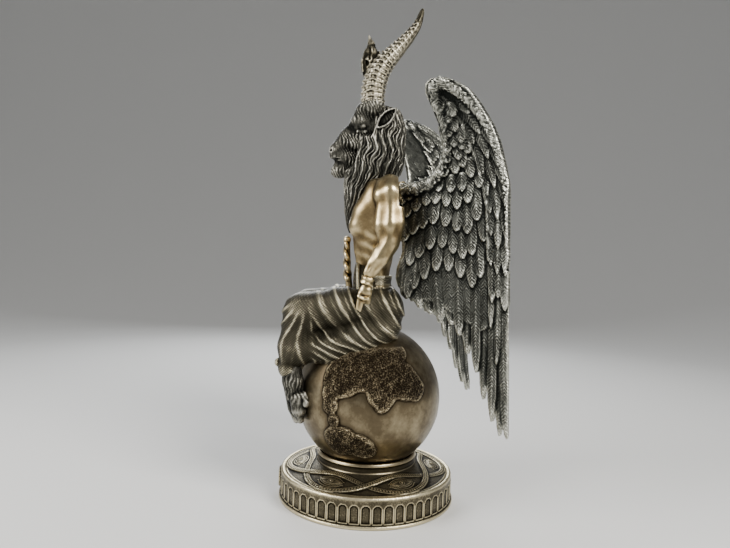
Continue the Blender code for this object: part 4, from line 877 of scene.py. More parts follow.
# Wings, shaped flat as (s, h, t) and then bent: s runs outwards, h upwards, t off the front face
WING_ROOT = (12.0, 30.0, 240.0)
SPREAD = math.radians(45.2)
RIGHT_SWAY = ((-176, 3), (-145, -3), (-115, -6), (-70, -1), (-30, 0), (10, 0), (40, -6), (72, -13))
RIGHT_WEB = ((1, 3), (9, 12), (13, 26), (18, 42), (27, 56), (38, 62), (44, 50), (42, 30), (36, 12), (20, 4))
BOSS_END = 0.35
INNER_EDGE = ((8, -86), (3, -81), (-4, -76), (-6.5, -69), (-5, -60), (1, -48), (1, -24), (0.9, -10),
              (0.9, 4), (15, 4.5), (28, 7.5), (37, 14), (41.5, 25), (43, 38), (42, 50), (40, 60),
              (42, 66), (47, 69.3))
OUTER_EDGE = ((52.5, 70.0), (58.5, 68.4), (64, 64.6), (70, 60), (73.5, 53), (77, 46), (81.3, 37.5),
              (85, 27), (88, 16), (90.6, 4), (93.5, -8), (95.2, -25), (94.4, -44), (91.4, -60), (88, -72),
              (84, -96), (70, -104), (50, -96), (30, -86), (12, -84))
ARM_LINE = ((0.5, 0, 6.0), (14, -0.5, 5.4), (26, 2, 5.0), (36, 9, 4.6), (44.5, 22, 3.4), (47.5, 38, 3.0),
            (46.5, 52, 3.5), (48.5, 62.5, 4.4), (54, 65, 4.4), (61, 60.5, 4.0), (68, 53, 3.4), (75, 42, 3.0),
            (82, 26, 2.6), (88, 5, 2.2), (92.0, -20, 2.0), (91.6, -45, 1.6))
SHEET_HALF = 1.5
FLIGHT_ROOTS = ((4, -42), (9, -42), (16, -44), (24, -44), (34, -42), (44, -38), (52, -34), (60, -28),
                (68, -22), (76, -16), (83, -16), (86.5, -26), (85.8, -50))


def wing_lift(s, h):
    """How far the wing's face is bowed off its flat plane: a bowl below, and the wrist curled forward."""
    curl = 27 * (np.maximum(h, 0) / 62) ** 1.4 * (1 - 0.016 * np.maximum(s - 43, 0))
    return curl - 4 * np.sin(math.pi * np.clip(s / 95, 0, 1))


def bent(places, side):
    """Points of the flat (s, h, t) wing in the layout. The right wing's tips are set further in."""
    s, h, t = places.T
    if side < 0:
        s = s + through(h, *zip(*RIGHT_SWAY)) * step(s, 0, 24)
    off = wing_lift(s, h) + t
    x = WING_ROOT[0] + math.cos(SPREAD) * s + math.sin(SPREAD) * off
    y = WING_ROOT[1] + math.sin(SPREAD) * s - math.cos(SPREAD) * off
    return np.stack([side * x, y, WING_ROOT[2] + h], 1)


def outline_distance(s, h, outline):
    """Distance to a closed outline, negative inside it."""
    outline = np.array(outline, float)
    nearest = np.full(np.broadcast(s, h).shape, FAR)
    inside = np.zeros(nearest.shape, bool)
    for a, b in zip(outline, np.roll(outline, -1, axis=0)):
        ds, dh = s - a[0], h - a[1]
        edge = b - a
        t = np.clip((ds * edge[0] + dh * edge[1]) / max(edge @ edge, 1e-9), 0, 1)
        nearest = np.minimum(nearest, np.hypot(ds - t * edge[0], dh - t * edge[1]))
        if a[1] != b[1]:
            crosses = ((a[1] > h) != (b[1] > h)) & (s < (b[0] - a[0]) * (h - a[1]) / (b[1] - a[1]) + a[0])
            inside ^= crosses
    return np.where(inside, -nearest, nearest)


def add_wing_bosses(clay):
    """Short stubs on the back that end flat, just short of the wings' roots."""
    x, y, z = clay.everywhere()
    region = (z > 225) & (z < 255) & (y > 25.5)
    for side in (1, -1):
        clay.limb([(side * 5, 20, 238, 8), (side * 12, 30, 240, 6.4)], 3)
        outward = (side * x - WING_ROOT[0]) * math.cos(SPREAD) + (y - WING_ROOT[1]) * math.sin(SPREAD)
        clay.trim(np.where(region & (side * x > 0), outward - BOSS_END, -FAR))


def clear_globe(clay):
    x, y, z = clay.everywhere()
    cx, cy, cz = laid_out(GLOBE_CENTRE)
    ball = (GLOBE_RADIUS - SEAT_DEPTH) / PART - np.sqrt((x - cx) ** 2 + (y - cy) ** 2 + (z - cz) ** 2)
    clay.trim(ball)


# Globe, with raised land given as longitude from +X, latitude and radius in degrees
LANDS = ((-23, 24, 15), (-6, 32, 17), (11, 30, 19), (27, 23, 15), (36, 17, 9), (9, 12, 11), (9, 4, 6),
         (22, 46, 14),
         (-31, 11, 5), (-29, 1, 4.5), (-26, -9, 4.5), (-22, -25, 13), (-9, -28, 11), (-1, -34, 8),
         (150, 35, 24), (178, 22, 16), (205, 40, 18), (165, -12, 11), (172, -26, 8), (238, 12, 15),
         (250, -8, 9),
         (100, -18, 13), (118, -22, 9), (-90, 5, 8))
LAND_SHORE = 1.6
SHORE_WAVES = ((5, 3.1, 1.5), (11, 4.7, 0.9), (23, 2.3, 0.45))
COVERED_ABOVE = 44.0
COVERED_BELOW = -44.0


def land_at(directions):
    """1 on the land and 0 on the sea, for unit directions from the globe's centre."""
    x, y, z = directions.T
    nearest = np.full(len(x), 90.0)
    for longitude, latitude, radius in LANDS:
        lon, lat = math.radians(longitude), math.radians(latitude)
        spot = np.array([math.cos(lat) * math.cos(lon), math.cos(lat) * math.sin(lon), math.sin(lat)])
        away = np.degrees(np.arccos(np.clip(directions @ spot, -1, 1))) - radius
        nearest = soft_min(nearest, away, 3.0)
    for pitch, turn, size in SHORE_WAVES:
        wave = np.sin(pitch * (x + 0.6 * z) + turn) * np.cos(pitch * (y - 0.7 * z) + 2 * turn)
        nearest = nearest + size * wave
    latitude = np.degrees(np.arcsin(np.clip(z, -1, 1)))
    above_collar = step(latitude, COVERED_BELOW - 5, COVERED_BELOW)
    under_cloth = step(latitude, COVERED_ABOVE, COVERED_ABOVE + 8)
    return step(-nearest, -LAND_SHORE / 2, LAND_SHORE / 2) * above_collar * (1 - under_cloth)


# Pieces of the figure, each from its own grid
def add_piece(name, look, low, high, cell, reach, *makers, stands_for=()):
    clay = Clay(low, high, cell)
    for maker in makers:
        maker(clay)
    points, faces = surface_of(clay)
    make_piece(name, stood_up(points), faces, look, stands_for, reach=reach)


def build_figure():
    add_piece("torso_and_arms", SKIN, (-63, -25, 146), (63, 44, 284), 0.92, 1.0,
              add_torso, add_arms, soften_muscles, add_wing_bosses, stands_for=("figure",))
    add_piece("trousers", CLOTH, (-46, -74, 98), (46, 36, 180), 0.92, 0.75,
              add_trousers, crease_trousers, clear_globe)
    add_piece("hooves", HAIR, (-40, -72, 60), (40, -38, 112), 0.74, 0.6, add_hooves, comb_legs, clear_globe)
    add_piece("head", HAIR, (-28, -34, 240), (28, 30, 308), 0.66, 0.6, add_head, comb_head)
    add_piece("flame", HORN, (-9, -7, 298), (9, 17, 364), 0.55, 0.6, add_flame)
    add_piece("belly_plate", CLOTH, (-26, -16, 154), (26, 10, 190), 0.74, 0.5, add_belly_plate, scale_plate)
    add_piece("staff", SKIN, (-10, -24, 154), (10, -6, 208), 0.5, 0.5, add_staff)
    build_mane()
    build_horns()


SOFTENING_ROUNDS = 8
WRIST_LEVEL = 178


def soften_muscles(clay):
    """Rounds the muscles above the wrists by averaging each place of the grid with its neighbours."""
    soft = clay.distance.copy()
    for axis in (0, 1, 2) * SOFTENING_ROUNDS:
        soft = soft / 2 + (np.roll(soft, 1, axis) + np.roll(soft, -1, axis)) / 4
    share = step(clay.everywhere()[2], WRIST_LEVEL, WRIST_LEVEL + 6).astype(np.float32)
    clay.distance = clay.distance * (1 - share) + (soft - 0.45) * share


CREASE_PITCH = 3.4
CREASE_DEPTH = 0.34


def crease_trousers(clay):
    """Fine creases that run with the pleats."""
    x, y, z = clay.everywhere()
    sweep = y - through(z, FOLD_LEVELS, FOLD_DRIFT) + 0.8 * np.sin(0.23 * z + 0.2 * x)
    angle = np.arctan2(y - KNEE_FAN[0], KNEE_FAN[1] - z) * 34
    share = step(y, -44, -32)
    lines = ridge(sweep / CREASE_PITCH) * share + ridge(angle / CREASE_PITCH) * (1 - share)
    patches = 0.5 + 0.5 * np.sin(0.21 * y + 0.17 * x + 1.0) * np.sin(0.19 * z - 0.11 * y)
    below_belt = 1 - step(z, 158, 162)
    clay.swell(CREASE_DEPTH * lines * patches * below_belt)


def strand_waves(along, down, pitch):
    """Wavy hairs: a ridge for each, with neighbours that drift apart and together."""
    sway = 0.8 * np.sin(2 * math.pi * down / 14.0 + 0.35 * along)
    sway = sway + 0.25 * np.sin(2 * math.pi * down / 7.1 - 0.5 * along)
    return 1 - np.abs(np.sin(math.pi * (along + sway) / pitch)) * 2


LEG_FUR = 0.28
FACE_FUR = 0.42


def comb_legs(clay):
    """Shaggy fur round the shins, above the hooves."""
    x, y, z = clay.everywhere()
    side = np.abs(x) - 26
    around = np.arctan2(side, -(y + 53)) * 8
    shaggy = step(z, 76, 84) * (1 - step(z, 100, 103))
    clay.swell(LEG_FUR * shaggy * strand_waves(around, z, 2.6))


EYE_SPOT = (12.9, -0.8, 288.4)
EYE_RADII = (1.9, 2.3, 1.7)
FACE_SIDE = (
    (2.5, (7.0, 4.5, 297, 7.6), (10.4, 6.2, 303, 9.5)),
    (1.6, (8.5, 2.5, 303, 2.0), (10.4, -2.6, 296, 2.3), (9.6, -5.8, 288, 1.9)),
    (1.0, (10.6, -5.2, 284.6, 1.2), (12.0, 0.5, 284.0, 1.3)),
    (0.3, (*EYE_SPOT, *EYE_RADII)),
    (3, (3.6, -13, 267.0, 4.4, 9.0, 6.0)),
    (-0.3, (5.6, -15, 265.0, 0.8), (4.4, -23, 264.4, 0.8), (0, -28.5, 264.0, 0.9)),
    (0.8, (5.0, -16, 267.4, 0.9), (4.2, -23.4, 267.0, 1.0), (0, -26.8, 266.8, 1.0)),
    (-0.3, (3.6, -27.0, 271.6, 1.5, 1.7, 1.0)),
)


def comb_head(clay):
    """Brow ridges, full cheeks, and short fur that hangs down the cheeks and the brow."""
    press_all(clay, FACE_SIDE, BOTH)
    clay.ball((0, -17, 256), (4.6, 5.0, 5.0), 3)
    x, y, z = clay.everywhere()
    cheek = step(y + 0.35 * (z - 262), -17, -11) * step(np.abs(x), 2.5, 6) * (1 - step(z, 282, 286))
    brow = step(z, 290, 294) * 0.6
    chin = (1 - step(z, 256, 262)) * 0.8
    hairs = strand_waves(y + 0.3 * z, z, 2.3) * step(np.hypot(y - EYE_SPOT[1], z - EYE_SPOT[2]), 3.2, 4.6)
    clay.swell(FACE_FUR * np.maximum(np.maximum(cheek, chin), brow) * hairs)


SCALE_ROW = 3.4
SCALE_WIDTH = 4.0


def scale_plate(clay):
    """Rows of overlapping scales on the front of the belly plate."""
    x, y, z = clay.everywhere()
    row = np.floor(z / SCALE_ROW)
    up = z / SCALE_ROW - row
    side = x / SCALE_WIDTH + 0.5 * (row % 2)
    side = side - np.round(side)
    leaf = np.clip(1 - (side / 0.5) ** 2 - 0.8 * (1 - up) ** 2, -1, 1)
    r = np.hypot(x - PLATE_CENTRE[0], z - PLATE_CENTRE[2])
    inside = (1 - step(r, PLATE_RADIUS - 3.4, PLATE_RADIUS - 2.4)) * (y < PLATE_CENTRE[1] + 2)
    clay.swell(0.5 * inside * leaf)


MANE_COLUMNS, MANE_ROWS = 290, 190
LOCK_PITCH = 5.6
HAIR_PITCH = 2.35
FACE_HALF_ANGLE = 0.62
LOCK_RAISED = 0.66
HAIR_RAISED = 0.52
FACE_HOLLOW = 0.42
TEMPLE_HOLLOW = 0.36


def build_mane():
    """The hair as rings of points round its middle line, raised into wavy locks and finer hairs."""
    level = HAIR_Z[0] + (HAIR_Z[-1] - HAIR_Z[0]) * np.linspace(0.0, 1.0, MANE_ROWS) ** 0.95
    angle = turns(MANE_COLUMNS) - math.pi
    angle, level = np.meshgrid(angle, level)
    middle, a, b = oval_at(level, HAIR_OVALS)
    crown = np.sqrt(np.clip((HAIR_Z[-1] - level) / 5, 0, 1))
    along = 19 * angle + 1.1 * np.sin(2 * math.pi * level / LOCK_WAVE + 1.7 * angle)
    gathered = along + 1.1 * np.sin(2 * math.pi * level / 31 + 0.9 * angle)
    locks = 1 - np.abs(np.sin(math.pi * gathered / LOCK_PITCH)) * 1.7
    hairs = strand_waves(along, level, HAIR_PITCH)
    hairs = hairs * (0.55 + 0.45 * np.sin(0.21 * level + 2.1 * angle) * np.sin(3.3 * angle - 0.13 * level))
    depth = np.clip(np.minimum(a, b) / 12, 0.22, 1)
    face = 1 - step(np.abs(angle), FACE_HALF_ANGLE - 0.15, FACE_HALF_ANGLE + 0.2)
    temple = (1 - step(np.abs(angle), 1.2, 1.42)) * step(level, 279, 285)
    hollow = np.maximum(face * step(level, 254, 266) * FACE_HOLLOW, temple * TEMPLE_HOLLOW)
    spread = 1 + (LOCK_RAISED * locks + HAIR_RAISED * hairs) * depth / np.minimum(a, b)
    spread = np.maximum(spread * (1 - hollow) * crown, 0.02)
    points = np.stack([a * spread * np.sin(angle), middle - b * spread * np.cos(angle), level], 2)
    faces = grid_faces(MANE_ROWS, MANE_COLUMNS)
    make_piece("hair", stood_up(points.reshape(-1, 3)), faces, HAIR, reach=0.75)


HORN_AROUND, HORN_STEPS = 44, 300
HORN_SQUEEZE = 1.12
RING_RAISED, RING_HALF, RING_SUNK = 0.115, 0.17, 0.055
NICK_DEPTH = 0.016


def build_horns():
    """Horns swept along their lines, with growth rings that are smooth on the front of the upper half."""
    for side, name in ((1, "left_horn"), (-1, "right_horn")):
        knots, lengths = horn_knots(side, HORN_STEPS)
        places, radii = knots[:, :3], knots[:, 3]
        forward = unit(np.gradient(places, axis=0))
        sideways = unit(np.cross(forward, (0, 1.0, 0)))
        upward = np.cross(sideways, forward)
        share = lengths / lengths[-1]
        pointed = np.sqrt(np.clip((lengths[-1] + 0.8 - lengths) / 3.0, 0, 1))
        points = []
        for number in range(HORN_AROUND):
            angle = 2 * math.pi * number / HORN_AROUND
            back = 0.5 - 0.5 * math.sin(angle)
            plain = step(share, 0.42, 0.6) * (1 - back) + step(share, 0.86, 0.97)
            wander = 0.16 * math.sin(3 * angle + 1) + 0.1 * math.sin(7 * angle)
            phase = (lengths / RING_PITCH + wander + 0.35 * back) % 1.0 - 0.5
            rings = RING_RAISED * hump(phase, RING_HALF) - RING_SUNK
            nicks = np.sin(2 * math.pi * (lengths / RING_PITCH / 2.7 + 0.3 * number))
            nicks = NICK_DEPTH * math.sin(11 * angle) * nicks
            rings += nicks * (1 - hump(phase, 0.2))
            grooves = 0.016 * math.sin(9 * angle) + 0.012 * math.sin(17 * angle + 1.0)
            spread = radii * pointed * (0.975 + rings * np.clip(1 - plain, 0, 1) + grooves)
            outward = math.cos(angle) * sideways / HORN_SQUEEZE + math.sin(angle) * upward
            points.append(places + spread[:, None] * outward)
        points = np.stack(points, 1).reshape(-1, 3)
        around, last = HORN_AROUND, (HORN_STEPS - 1) * HORN_AROUND
        walls = grid_faces(HORN_STEPS, around)
        cap = np.array([(last + i - 1, last + i, last + around - i - 1, last + around - i)
                        for i in range(1, around // 2)])
        make_piece(name, stood_up(points), np.concatenate([walls, cap])[:, ::-1], HORN, reach=0.5)


# Feathers, as leaves on the flat wing: (root, tip, width, base, rise, where it tapers, how blunt)
WING_GRID = ((-14, -180, -8.4), (102, 78, 8.4), (0.88, 0.88, 0.55))
WING_REACH = 92.7
FREE_TIPS_BELOW = -62
BOSS_LOWEST = -17
RIDGE_LINE = ((41, 63.4), (48.3, 63.4), (55.3, 52.2), (61.4, 37.3), (64.5, 25.1), (69.8, 5), (74.9, -15.4),
              (76, -32.3), (76.7, -53.8), (77.4, -89.2))
BAND_EDGE = ((93.5, -89), (93.2, -60), (95, -25), (90.6, 4), (87.5, 16), (81, 37), (73.5, 53), (64, 64.6))
FEATHER_TIPS = ((3, -85), (14, -89.5), (25, -95.5), (34, -99), (43.5, -102), (51, -109), (58, -122),
                (65.5, -134), (72, -152), (79, -166), (86, -174.5), (91, -175))
FEATHER_ROWS = (
    (((4, -84), (15, -73), (30, -63), (46, -64), (62, -74), (74, -62)), 8, 10.4, 30, 1.5),
    (((3, -62), (15, -53), (30, -45), (46, -50), (58, -54), (73, -42)), 8, 10.4, 26, 1.9),
    (((2, -40), (14, -33), (28, -28), (44, -32), (58, -36), (71, -22)), 8, 10.4, 21, 2.2),
    (((1, -24), (12, -18), (26, -13), (40, -16), (54, -18), (69, -5)), 8, 10.2, 16, 2.5),
    (((0, -12), (10, -8), (24, -4), (38, -5), (54, -6), (66, 8)), 8, 9.8, 12.5, 2.7),
    (((18, 0), (30, 3), (42, 6), (54, 8), (62, 19)), 6, 9.0, 11, 2.9),
    (((37, 11), (46, 15), (56, 17), (60, 27)), 4, 8.6, 10, 3.0),
    (((43, 20), (51, 24), (58, 27)), 3, 8.4, 10, 3.1),
    (((46, 29), (52, 32), (57, 36)), 3, 8.0, 9.5, 3.1),
    (((47, 38), (52, 40), (56, 44)), 3, 7.6, 9.0, 3.1),
    (((47, 47), (51, 49)), 2, 7.4, 8.5, 3.1),
)
BAND_ROWS = (44, 26, 9, -7, -24, -43, -63, -84)


def line_at(line, share):
    line = np.array(line, float)
    index = np.arange(len(line))
    return np.array([float(through(share * (len(line) - 1), index, line[:, i])) for i in (0, 1)])


def across_at(line, height):
    ordered = sorted((h, s) for s, h in line)
    return float(np.interp(height, [h for h, _ in ordered], [s for _, s in ordered]))


def feathers():
    """Leaves from the lowest layer to the highest."""
    leaves = []
    count = len(FEATHER_TIPS)
    for number in range(count):
        share = number / (count - 1)
        tip = np.array(FEATHER_TIPS[number], float)
        root = line_at(FLIGHT_ROOTS, share)
        leaves.append((root, tip, 10.2 - 2.2 * share, 0.5 + 0.55 * (number % 2), 0.8, 0.86, 1.6))
    for number in range(3):
        low = np.array((88.5 - 4.6 * number, -150 + 24 * number), float)
        leaves.append((low + (0.5, 84), low, 6.4, 1.1 + 0.4 * number, 0.5, 0.8, 1.5))
    for row, (line, count, width, length, base) in enumerate(FEATHER_ROWS):
        for number in range(count):
            share = (number + (0.5 if row % 2 else 0.0)) / max(count - 0.5, 1)
            tip = line_at(line, min(share, 1.0))
            wobble = math.sin(7.3 * number + 3.1 * row)
            lean = np.array([-0.20 + 0.004 * tip[0] + 0.06 * wobble, -1.0])
            root = tip - unit(lean) * (length * (1 + 0.05 * wobble))
            leaves.append((root, tip, width, base, 1.0, 0.42 if length < 18 else 0.62, 2.0))
    for row, height in enumerate(reversed(BAND_ROWS)):
        for number in (2, 0, 1):
            share = 0.16 + 0.34 * number
            low_h = height + 5.0 * math.sin(2.4 * number + row)
            ends = []
            for level in (low_h + 27, low_h):
                level = min(level, 62)
                near, far = across_at(RIDGE_LINE, level), across_at(BAND_EDGE, level)
                ends.append(np.array([near + share * (far - near), level]))
            leaves.append((ends[0], ends[1], 8.6, 2.1 + 0.25 * number, 1.0, 0.5, 1.35))
    return leaves


LEAVES = feathers()
ROOT_REACH = 0.32
RIM_RAISED = 0.22
SHAFT_RAISED = 0.16
SHAFT_HALF = 0.45
CAMBER = 0.45
FRAYED = 0.22


def leaf_frame(leaf, s, h):
    """Share along the leaf, distance off its shaft, distance to its outline and height of its face."""
    root, tip, width, base, rise, tapers, blunt = leaf
    root = root - ROOT_REACH * (tip - root)
    length = np.linalg.norm(tip - root)
    along = (tip - root) / length
    turn = root[0] * 1.7 + root[1] * 0.9
    ds, dh = s - root[0], h - root[1]
    u = (ds * along[0] + dh * along[1]) / length
    v = dh * along[0] - ds * along[1]
    v = v + 0.5 * np.sin(2.5 * u + turn)
    late = np.clip((u - tapers) / (1 - tapers), 0, 1)
    half = width / 2 * np.clip(1 - late ** 2, 0.0, 1) ** (1 / blunt)
    frayed = FRAYED * np.abs(np.sin(1.15 * v + turn)) * step(u, 0.55, 0.9)
    flat = (np.abs(v) - half) * (0.75 if blunt < 1.5 else 0.85)
    flat = np.maximum(flat, np.maximum(-u, u - 1) * length) + frayed
    rim = RIM_RAISED * hump(flat + 0.45, 0.38) * step(u, 0.35, 0.7)
    shaft = SHAFT_RAISED * hump(v, SHAFT_HALF)
    sunk = (base + 0.6) * (1 - step(u, 0.0, 0.2))
    face = base + rise * np.clip(u, 0, 1) + rim + shaft - CAMBER * (2 * v / width) ** 2 - sunk
    return u * length, v, flat, face


def carve_leaf(clay, leaf, side):
    root, tip, width = leaf[:3]
    far = root - ROOT_REACH * (tip - root)
    low = np.array([*(np.minimum(far, tip) - width / 2), -6.0])
    high = np.array([*(np.maximum(far, tip) + width / 2), 6.0])

    def blade(s, h, t):
        _, _, flat, face = leaf_frame(leaf, s, h)
        face = face * (1 - 0.5 * step(s, 84, 95))
        return np.maximum(flat, np.abs(side * t - face / 2) - face / 2)
    clay.press(blade, low, high, 0.25)


def leaf_marks(points):
    """For each point of the flat wing: how far along and across the topmost leaf it lies."""
    along = np.zeros(len(points))
    across = np.zeros(len(points))
    for side in (1, -1):
        top = np.full(len(points), -9.0)
        facing = points[:, 2] * side > 0
        for leaf in LEAVES:
            u, v, flat, face = leaf_frame(leaf, points[:, 0], points[:, 1])
            best = facing & (flat < 0.1) & (face > top)
            top[best] = face[best]
            along[best] = u[best]
            across[best] = v[best]
    return along, across


TUFT_COUNT = 230
TUFT_RADII = (0.6, 0.95, 0.4)


def add_tufts(clay):
    """Small overlapping feathers that wrap the wing's arm."""
    index = np.arange(len(ARM_LINE))
    columns = [[knot[i] for knot in ARM_LINE] for i in range(3)]
    for number in range(TUFT_COUNT):
        spot = (0.02 + 0.95 * number / TUFT_COUNT) * (len(ARM_LINE) - 1)
        a, b, r = (float(through(spot, index, column)) for column in columns)
        ahead = [float(through(spot + 0.2, index, column)) for column in columns[:2]]
        way = unit((ahead[0] - a, ahead[1] - b)) * (2.6 + 0.6 * math.sin(5.1 * number))
        across = 0.62 * r * math.sin(2.4 * number)
        lift = 0.80 * math.sqrt(r * r - across * across) - 0.25
        foot = np.array([a, b]) + unit((-way[1], way[0])) * across
        for face in (1, -1):
            lifts = (face * lift + 0.8, face * (lift + 0.5) + 0.8, face * (lift + 0.4) + 0.8)
            places = (foot, foot + way * 0.6, foot + way)
            clay.limb([(*place, out, radius) for place, out, radius in zip(places, lifts, TUFT_RADII)], 0.25)


def shape_wing(side):
    clay = Clay(*WING_GRID)
    s, h = clay.lines[0][:, None], clay.lines[1][None, :]
    flats = outline_distance(s, h, INNER_EDGE + OUTER_EDGE)
    if side < 0:
        flats = np.minimum(flats, outline_distance(s, h, RIGHT_WEB))
    sheet = np.maximum(flats[:, :, None], np.abs(clay.lines[2][None, None, :]) - SHEET_HALF)
    clay.distance = sheet.astype(np.float32)
    for leaf in LEAVES:
        for face in (1, -1):
            carve_leaf(clay, leaf, face)
    clay.limb([(a, b, 0.8, r) for a, b, r in ARM_LINE], 1.2)
    for face in (1, -1):
        clay.limb([(a, b, face * 1.6, 1.3) for a, b in RIDGE_LINE[1:-1]], 1.5)
    add_tufts(clay)
    beyond = np.where(h > FREE_TIPS_BELOW, np.maximum(flats - 0.2, s - WING_REACH), s - WING_REACH)
    clay.trim(beyond[:, :, None])
    clay.trim(np.where(h > BOSS_LOWEST, BOSS_END + 1000 * GAP - s, -FAR)[:, :, None])
    return clay


WING_BACK_REACH = 0.0944
WING_SIDE_REACH = 0.0796


def build_wings():
    for name, side in (("left_wing", 1), ("right_wing", -1)):
        points, faces = largest_body(*surface_of(shape_wing(side)))
        along, across = leaf_marks(points)
        if side < 0:
            faces = faces[:, ::-1]
        points = stood_up(bent(points, side))
        points[:, 0] = np.clip(points[:, 0], -WING_SIDE_REACH, WING_SIDE_REACH)
        points[:, 1] = np.minimum(points[:, 1], WING_BACK_REACH)
        make_piece(name, points, faces, WING, ("wing_left" if side > 0 else "wing_right",),
                   {"along": along, "across": across}, reach=0.55)


def ground_height(radius):
    """The plinth's top rises gently from the rim to the foot of the collar."""
    share = (GROUND_RADIUS - radius) / (GROUND_RADIUS - COLLAR_RADIUS)
    return PLINTH_HEIGHT - GROUND_SINK + GROUND_RISE * min(max(share, 0.0), 1.0)


# Globe with its land in relief
GLOBE_COLUMNS, GLOBE_ROWS = 408, 126
GLOBE_LATITUDES = (math.radians(-52), math.radians(66))
GROUND_WAVES = ((17, 1.0), (31, 0.8), (53, 0.6))


def build_globe():
    lon = turns(GLOBE_COLUMNS)
    lon, lat = np.meshgrid(lon, np.linspace(*GLOBE_LATITUDES, GLOBE_ROWS))
    directions = np.stack([np.cos(lat) * np.cos(lon), np.cos(lat) * np.sin(lon), np.sin(lat)], 2)
    directions = directions.reshape(-1, 3)
    land = land_at(directions)
    x, y, z = directions.T
    rough = np.zeros(len(x))
    for number, (pitch, size) in enumerate(GROUND_WAVES):
        rough += size * np.sin(pitch * (x + 0.7 * z) + number) * np.sin(pitch * (y - 0.5 * z) + 2 * number)
        rough += size * np.sin(pitch * 1.3 * (z + 0.4 * x) + 5 * number) * np.cos(pitch * (y + x) + number)
    shore = hump(land - 0.5, 0.3)
    relief = 1.0 * land + 0.09 * rough * land + 0.15 * shore
    raised = GLOBE_RADIUS - LAND_HEIGHT * 0.25 + LAND_HEIGHT * relief
    points = directions * raised[:, None] + GLOBE_CENTRE
    faces = grid_faces(GLOBE_ROWS, GLOBE_COLUMNS)
    make_piece("globe_ball", points, faces, GLOBE, ("globe",), {"land": land}, reach=0.5)


def grid_faces(rows, columns):
    """Quads of rows that close on themselves, seen from outside when the rows rise."""
    row, column = np.meshgrid(np.arange(rows - 1), np.arange(columns), indexing="ij")
    beside = (column + 1) % columns
    return np.stack([row * columns + column, row * columns + beside, (row + 1) * columns + beside,
                     (row + 1) * columns + column], 2).reshape(-1, 4)


def turned(profile, columns):
    """Rings of points round the upright axis, for a profile of radii and heights."""
    angle = turns(columns)
    rings = [(radius * np.cos(angle), radius * np.sin(angle), np.full(columns, level))
             for radius, level in profile]
    return np.concatenate([np.stack(ring, 1) for ring in rings])


# Plinth: a wall with an arcade, and a top with knotwork and eyes
def smooth_edge(distance, width):
    return step(-distance, -width / 2, width / 2)


ARCH_RELIEF = 0.0003
ARCH_BEAD = 0.00028
ARCH_INSET = 0.0003
GROOVE_HALF = 0.00030
GROOVE_INSET = 0.0008
SOFT_EDGE = 0.0004
WIDE_EDGE = 0.0006


def arch_relief(around, height):
    """Depth of the round-headed panels and their thin raised outlines, for places on the wall."""
    pitch = 2 * math.pi * WALL_RADIUS / ARCH_COUNT
    number = np.round(around / pitch)
    across = around - number * pitch
    half = ARCH_WIDTH / 2
    spring = ARCH_TOP - half
    over = np.hypot(across, np.maximum(height - spring, 0)) - half
    outline = np.maximum(over, ARCH_SILL - height)
    inside = smooth_edge(outline + ARCH_INSET, SOFT_EDGE)
    bead = hump(outline, ARCH_BEAD)
    groove = hump(outline + GROOVE_INSET, GROOVE_HALF)
    covered = np.abs(around - 0.75 * 2 * math.pi * WALL_RADIUS) < MEDALLION_RADIUS + ARCH_WIDTH / 2
    return np.where(covered, 0, ARCH_RELIEF * bead - ARCH_RELIEF * inside - ARCH_RELIEF * groove)


MEDALLION_RAISED = 0.0019
DISH_SHARE = 0.78
BOSS_RADIUS = 0.0042
BOSS_POINTS = 0.0010
BOSS_RAISED = 0.0006


def medallion_relief(across, up):
    """Height of the medallion: a ring, a dish and in it a boss with three rounded corners."""
    away = np.hypot(across, up)
    disc = smooth_edge(away - MEDALLION_RADIUS, WIDE_EDGE)
    dish = smooth_edge(away - DISH_SHARE * MEDALLION_RADIUS, WIDE_EDGE)
    corners = np.cos(3 * np.arctan2(up, across) + math.pi / 2) * step(away, 0.001, 0.003)
    boss = smooth_edge(away - BOSS_RADIUS - BOSS_POINTS * corners, WIDE_EDGE)
    return MEDALLION_RAISED * disc - MEDALLION_DISH * dish + BOSS_RAISED * boss


WALL_COLUMNS, ARCADE_ROWS = 936, 26
UNDERSIDE_COLUMNS = 96
FLANGE_EDGE = 0.0004


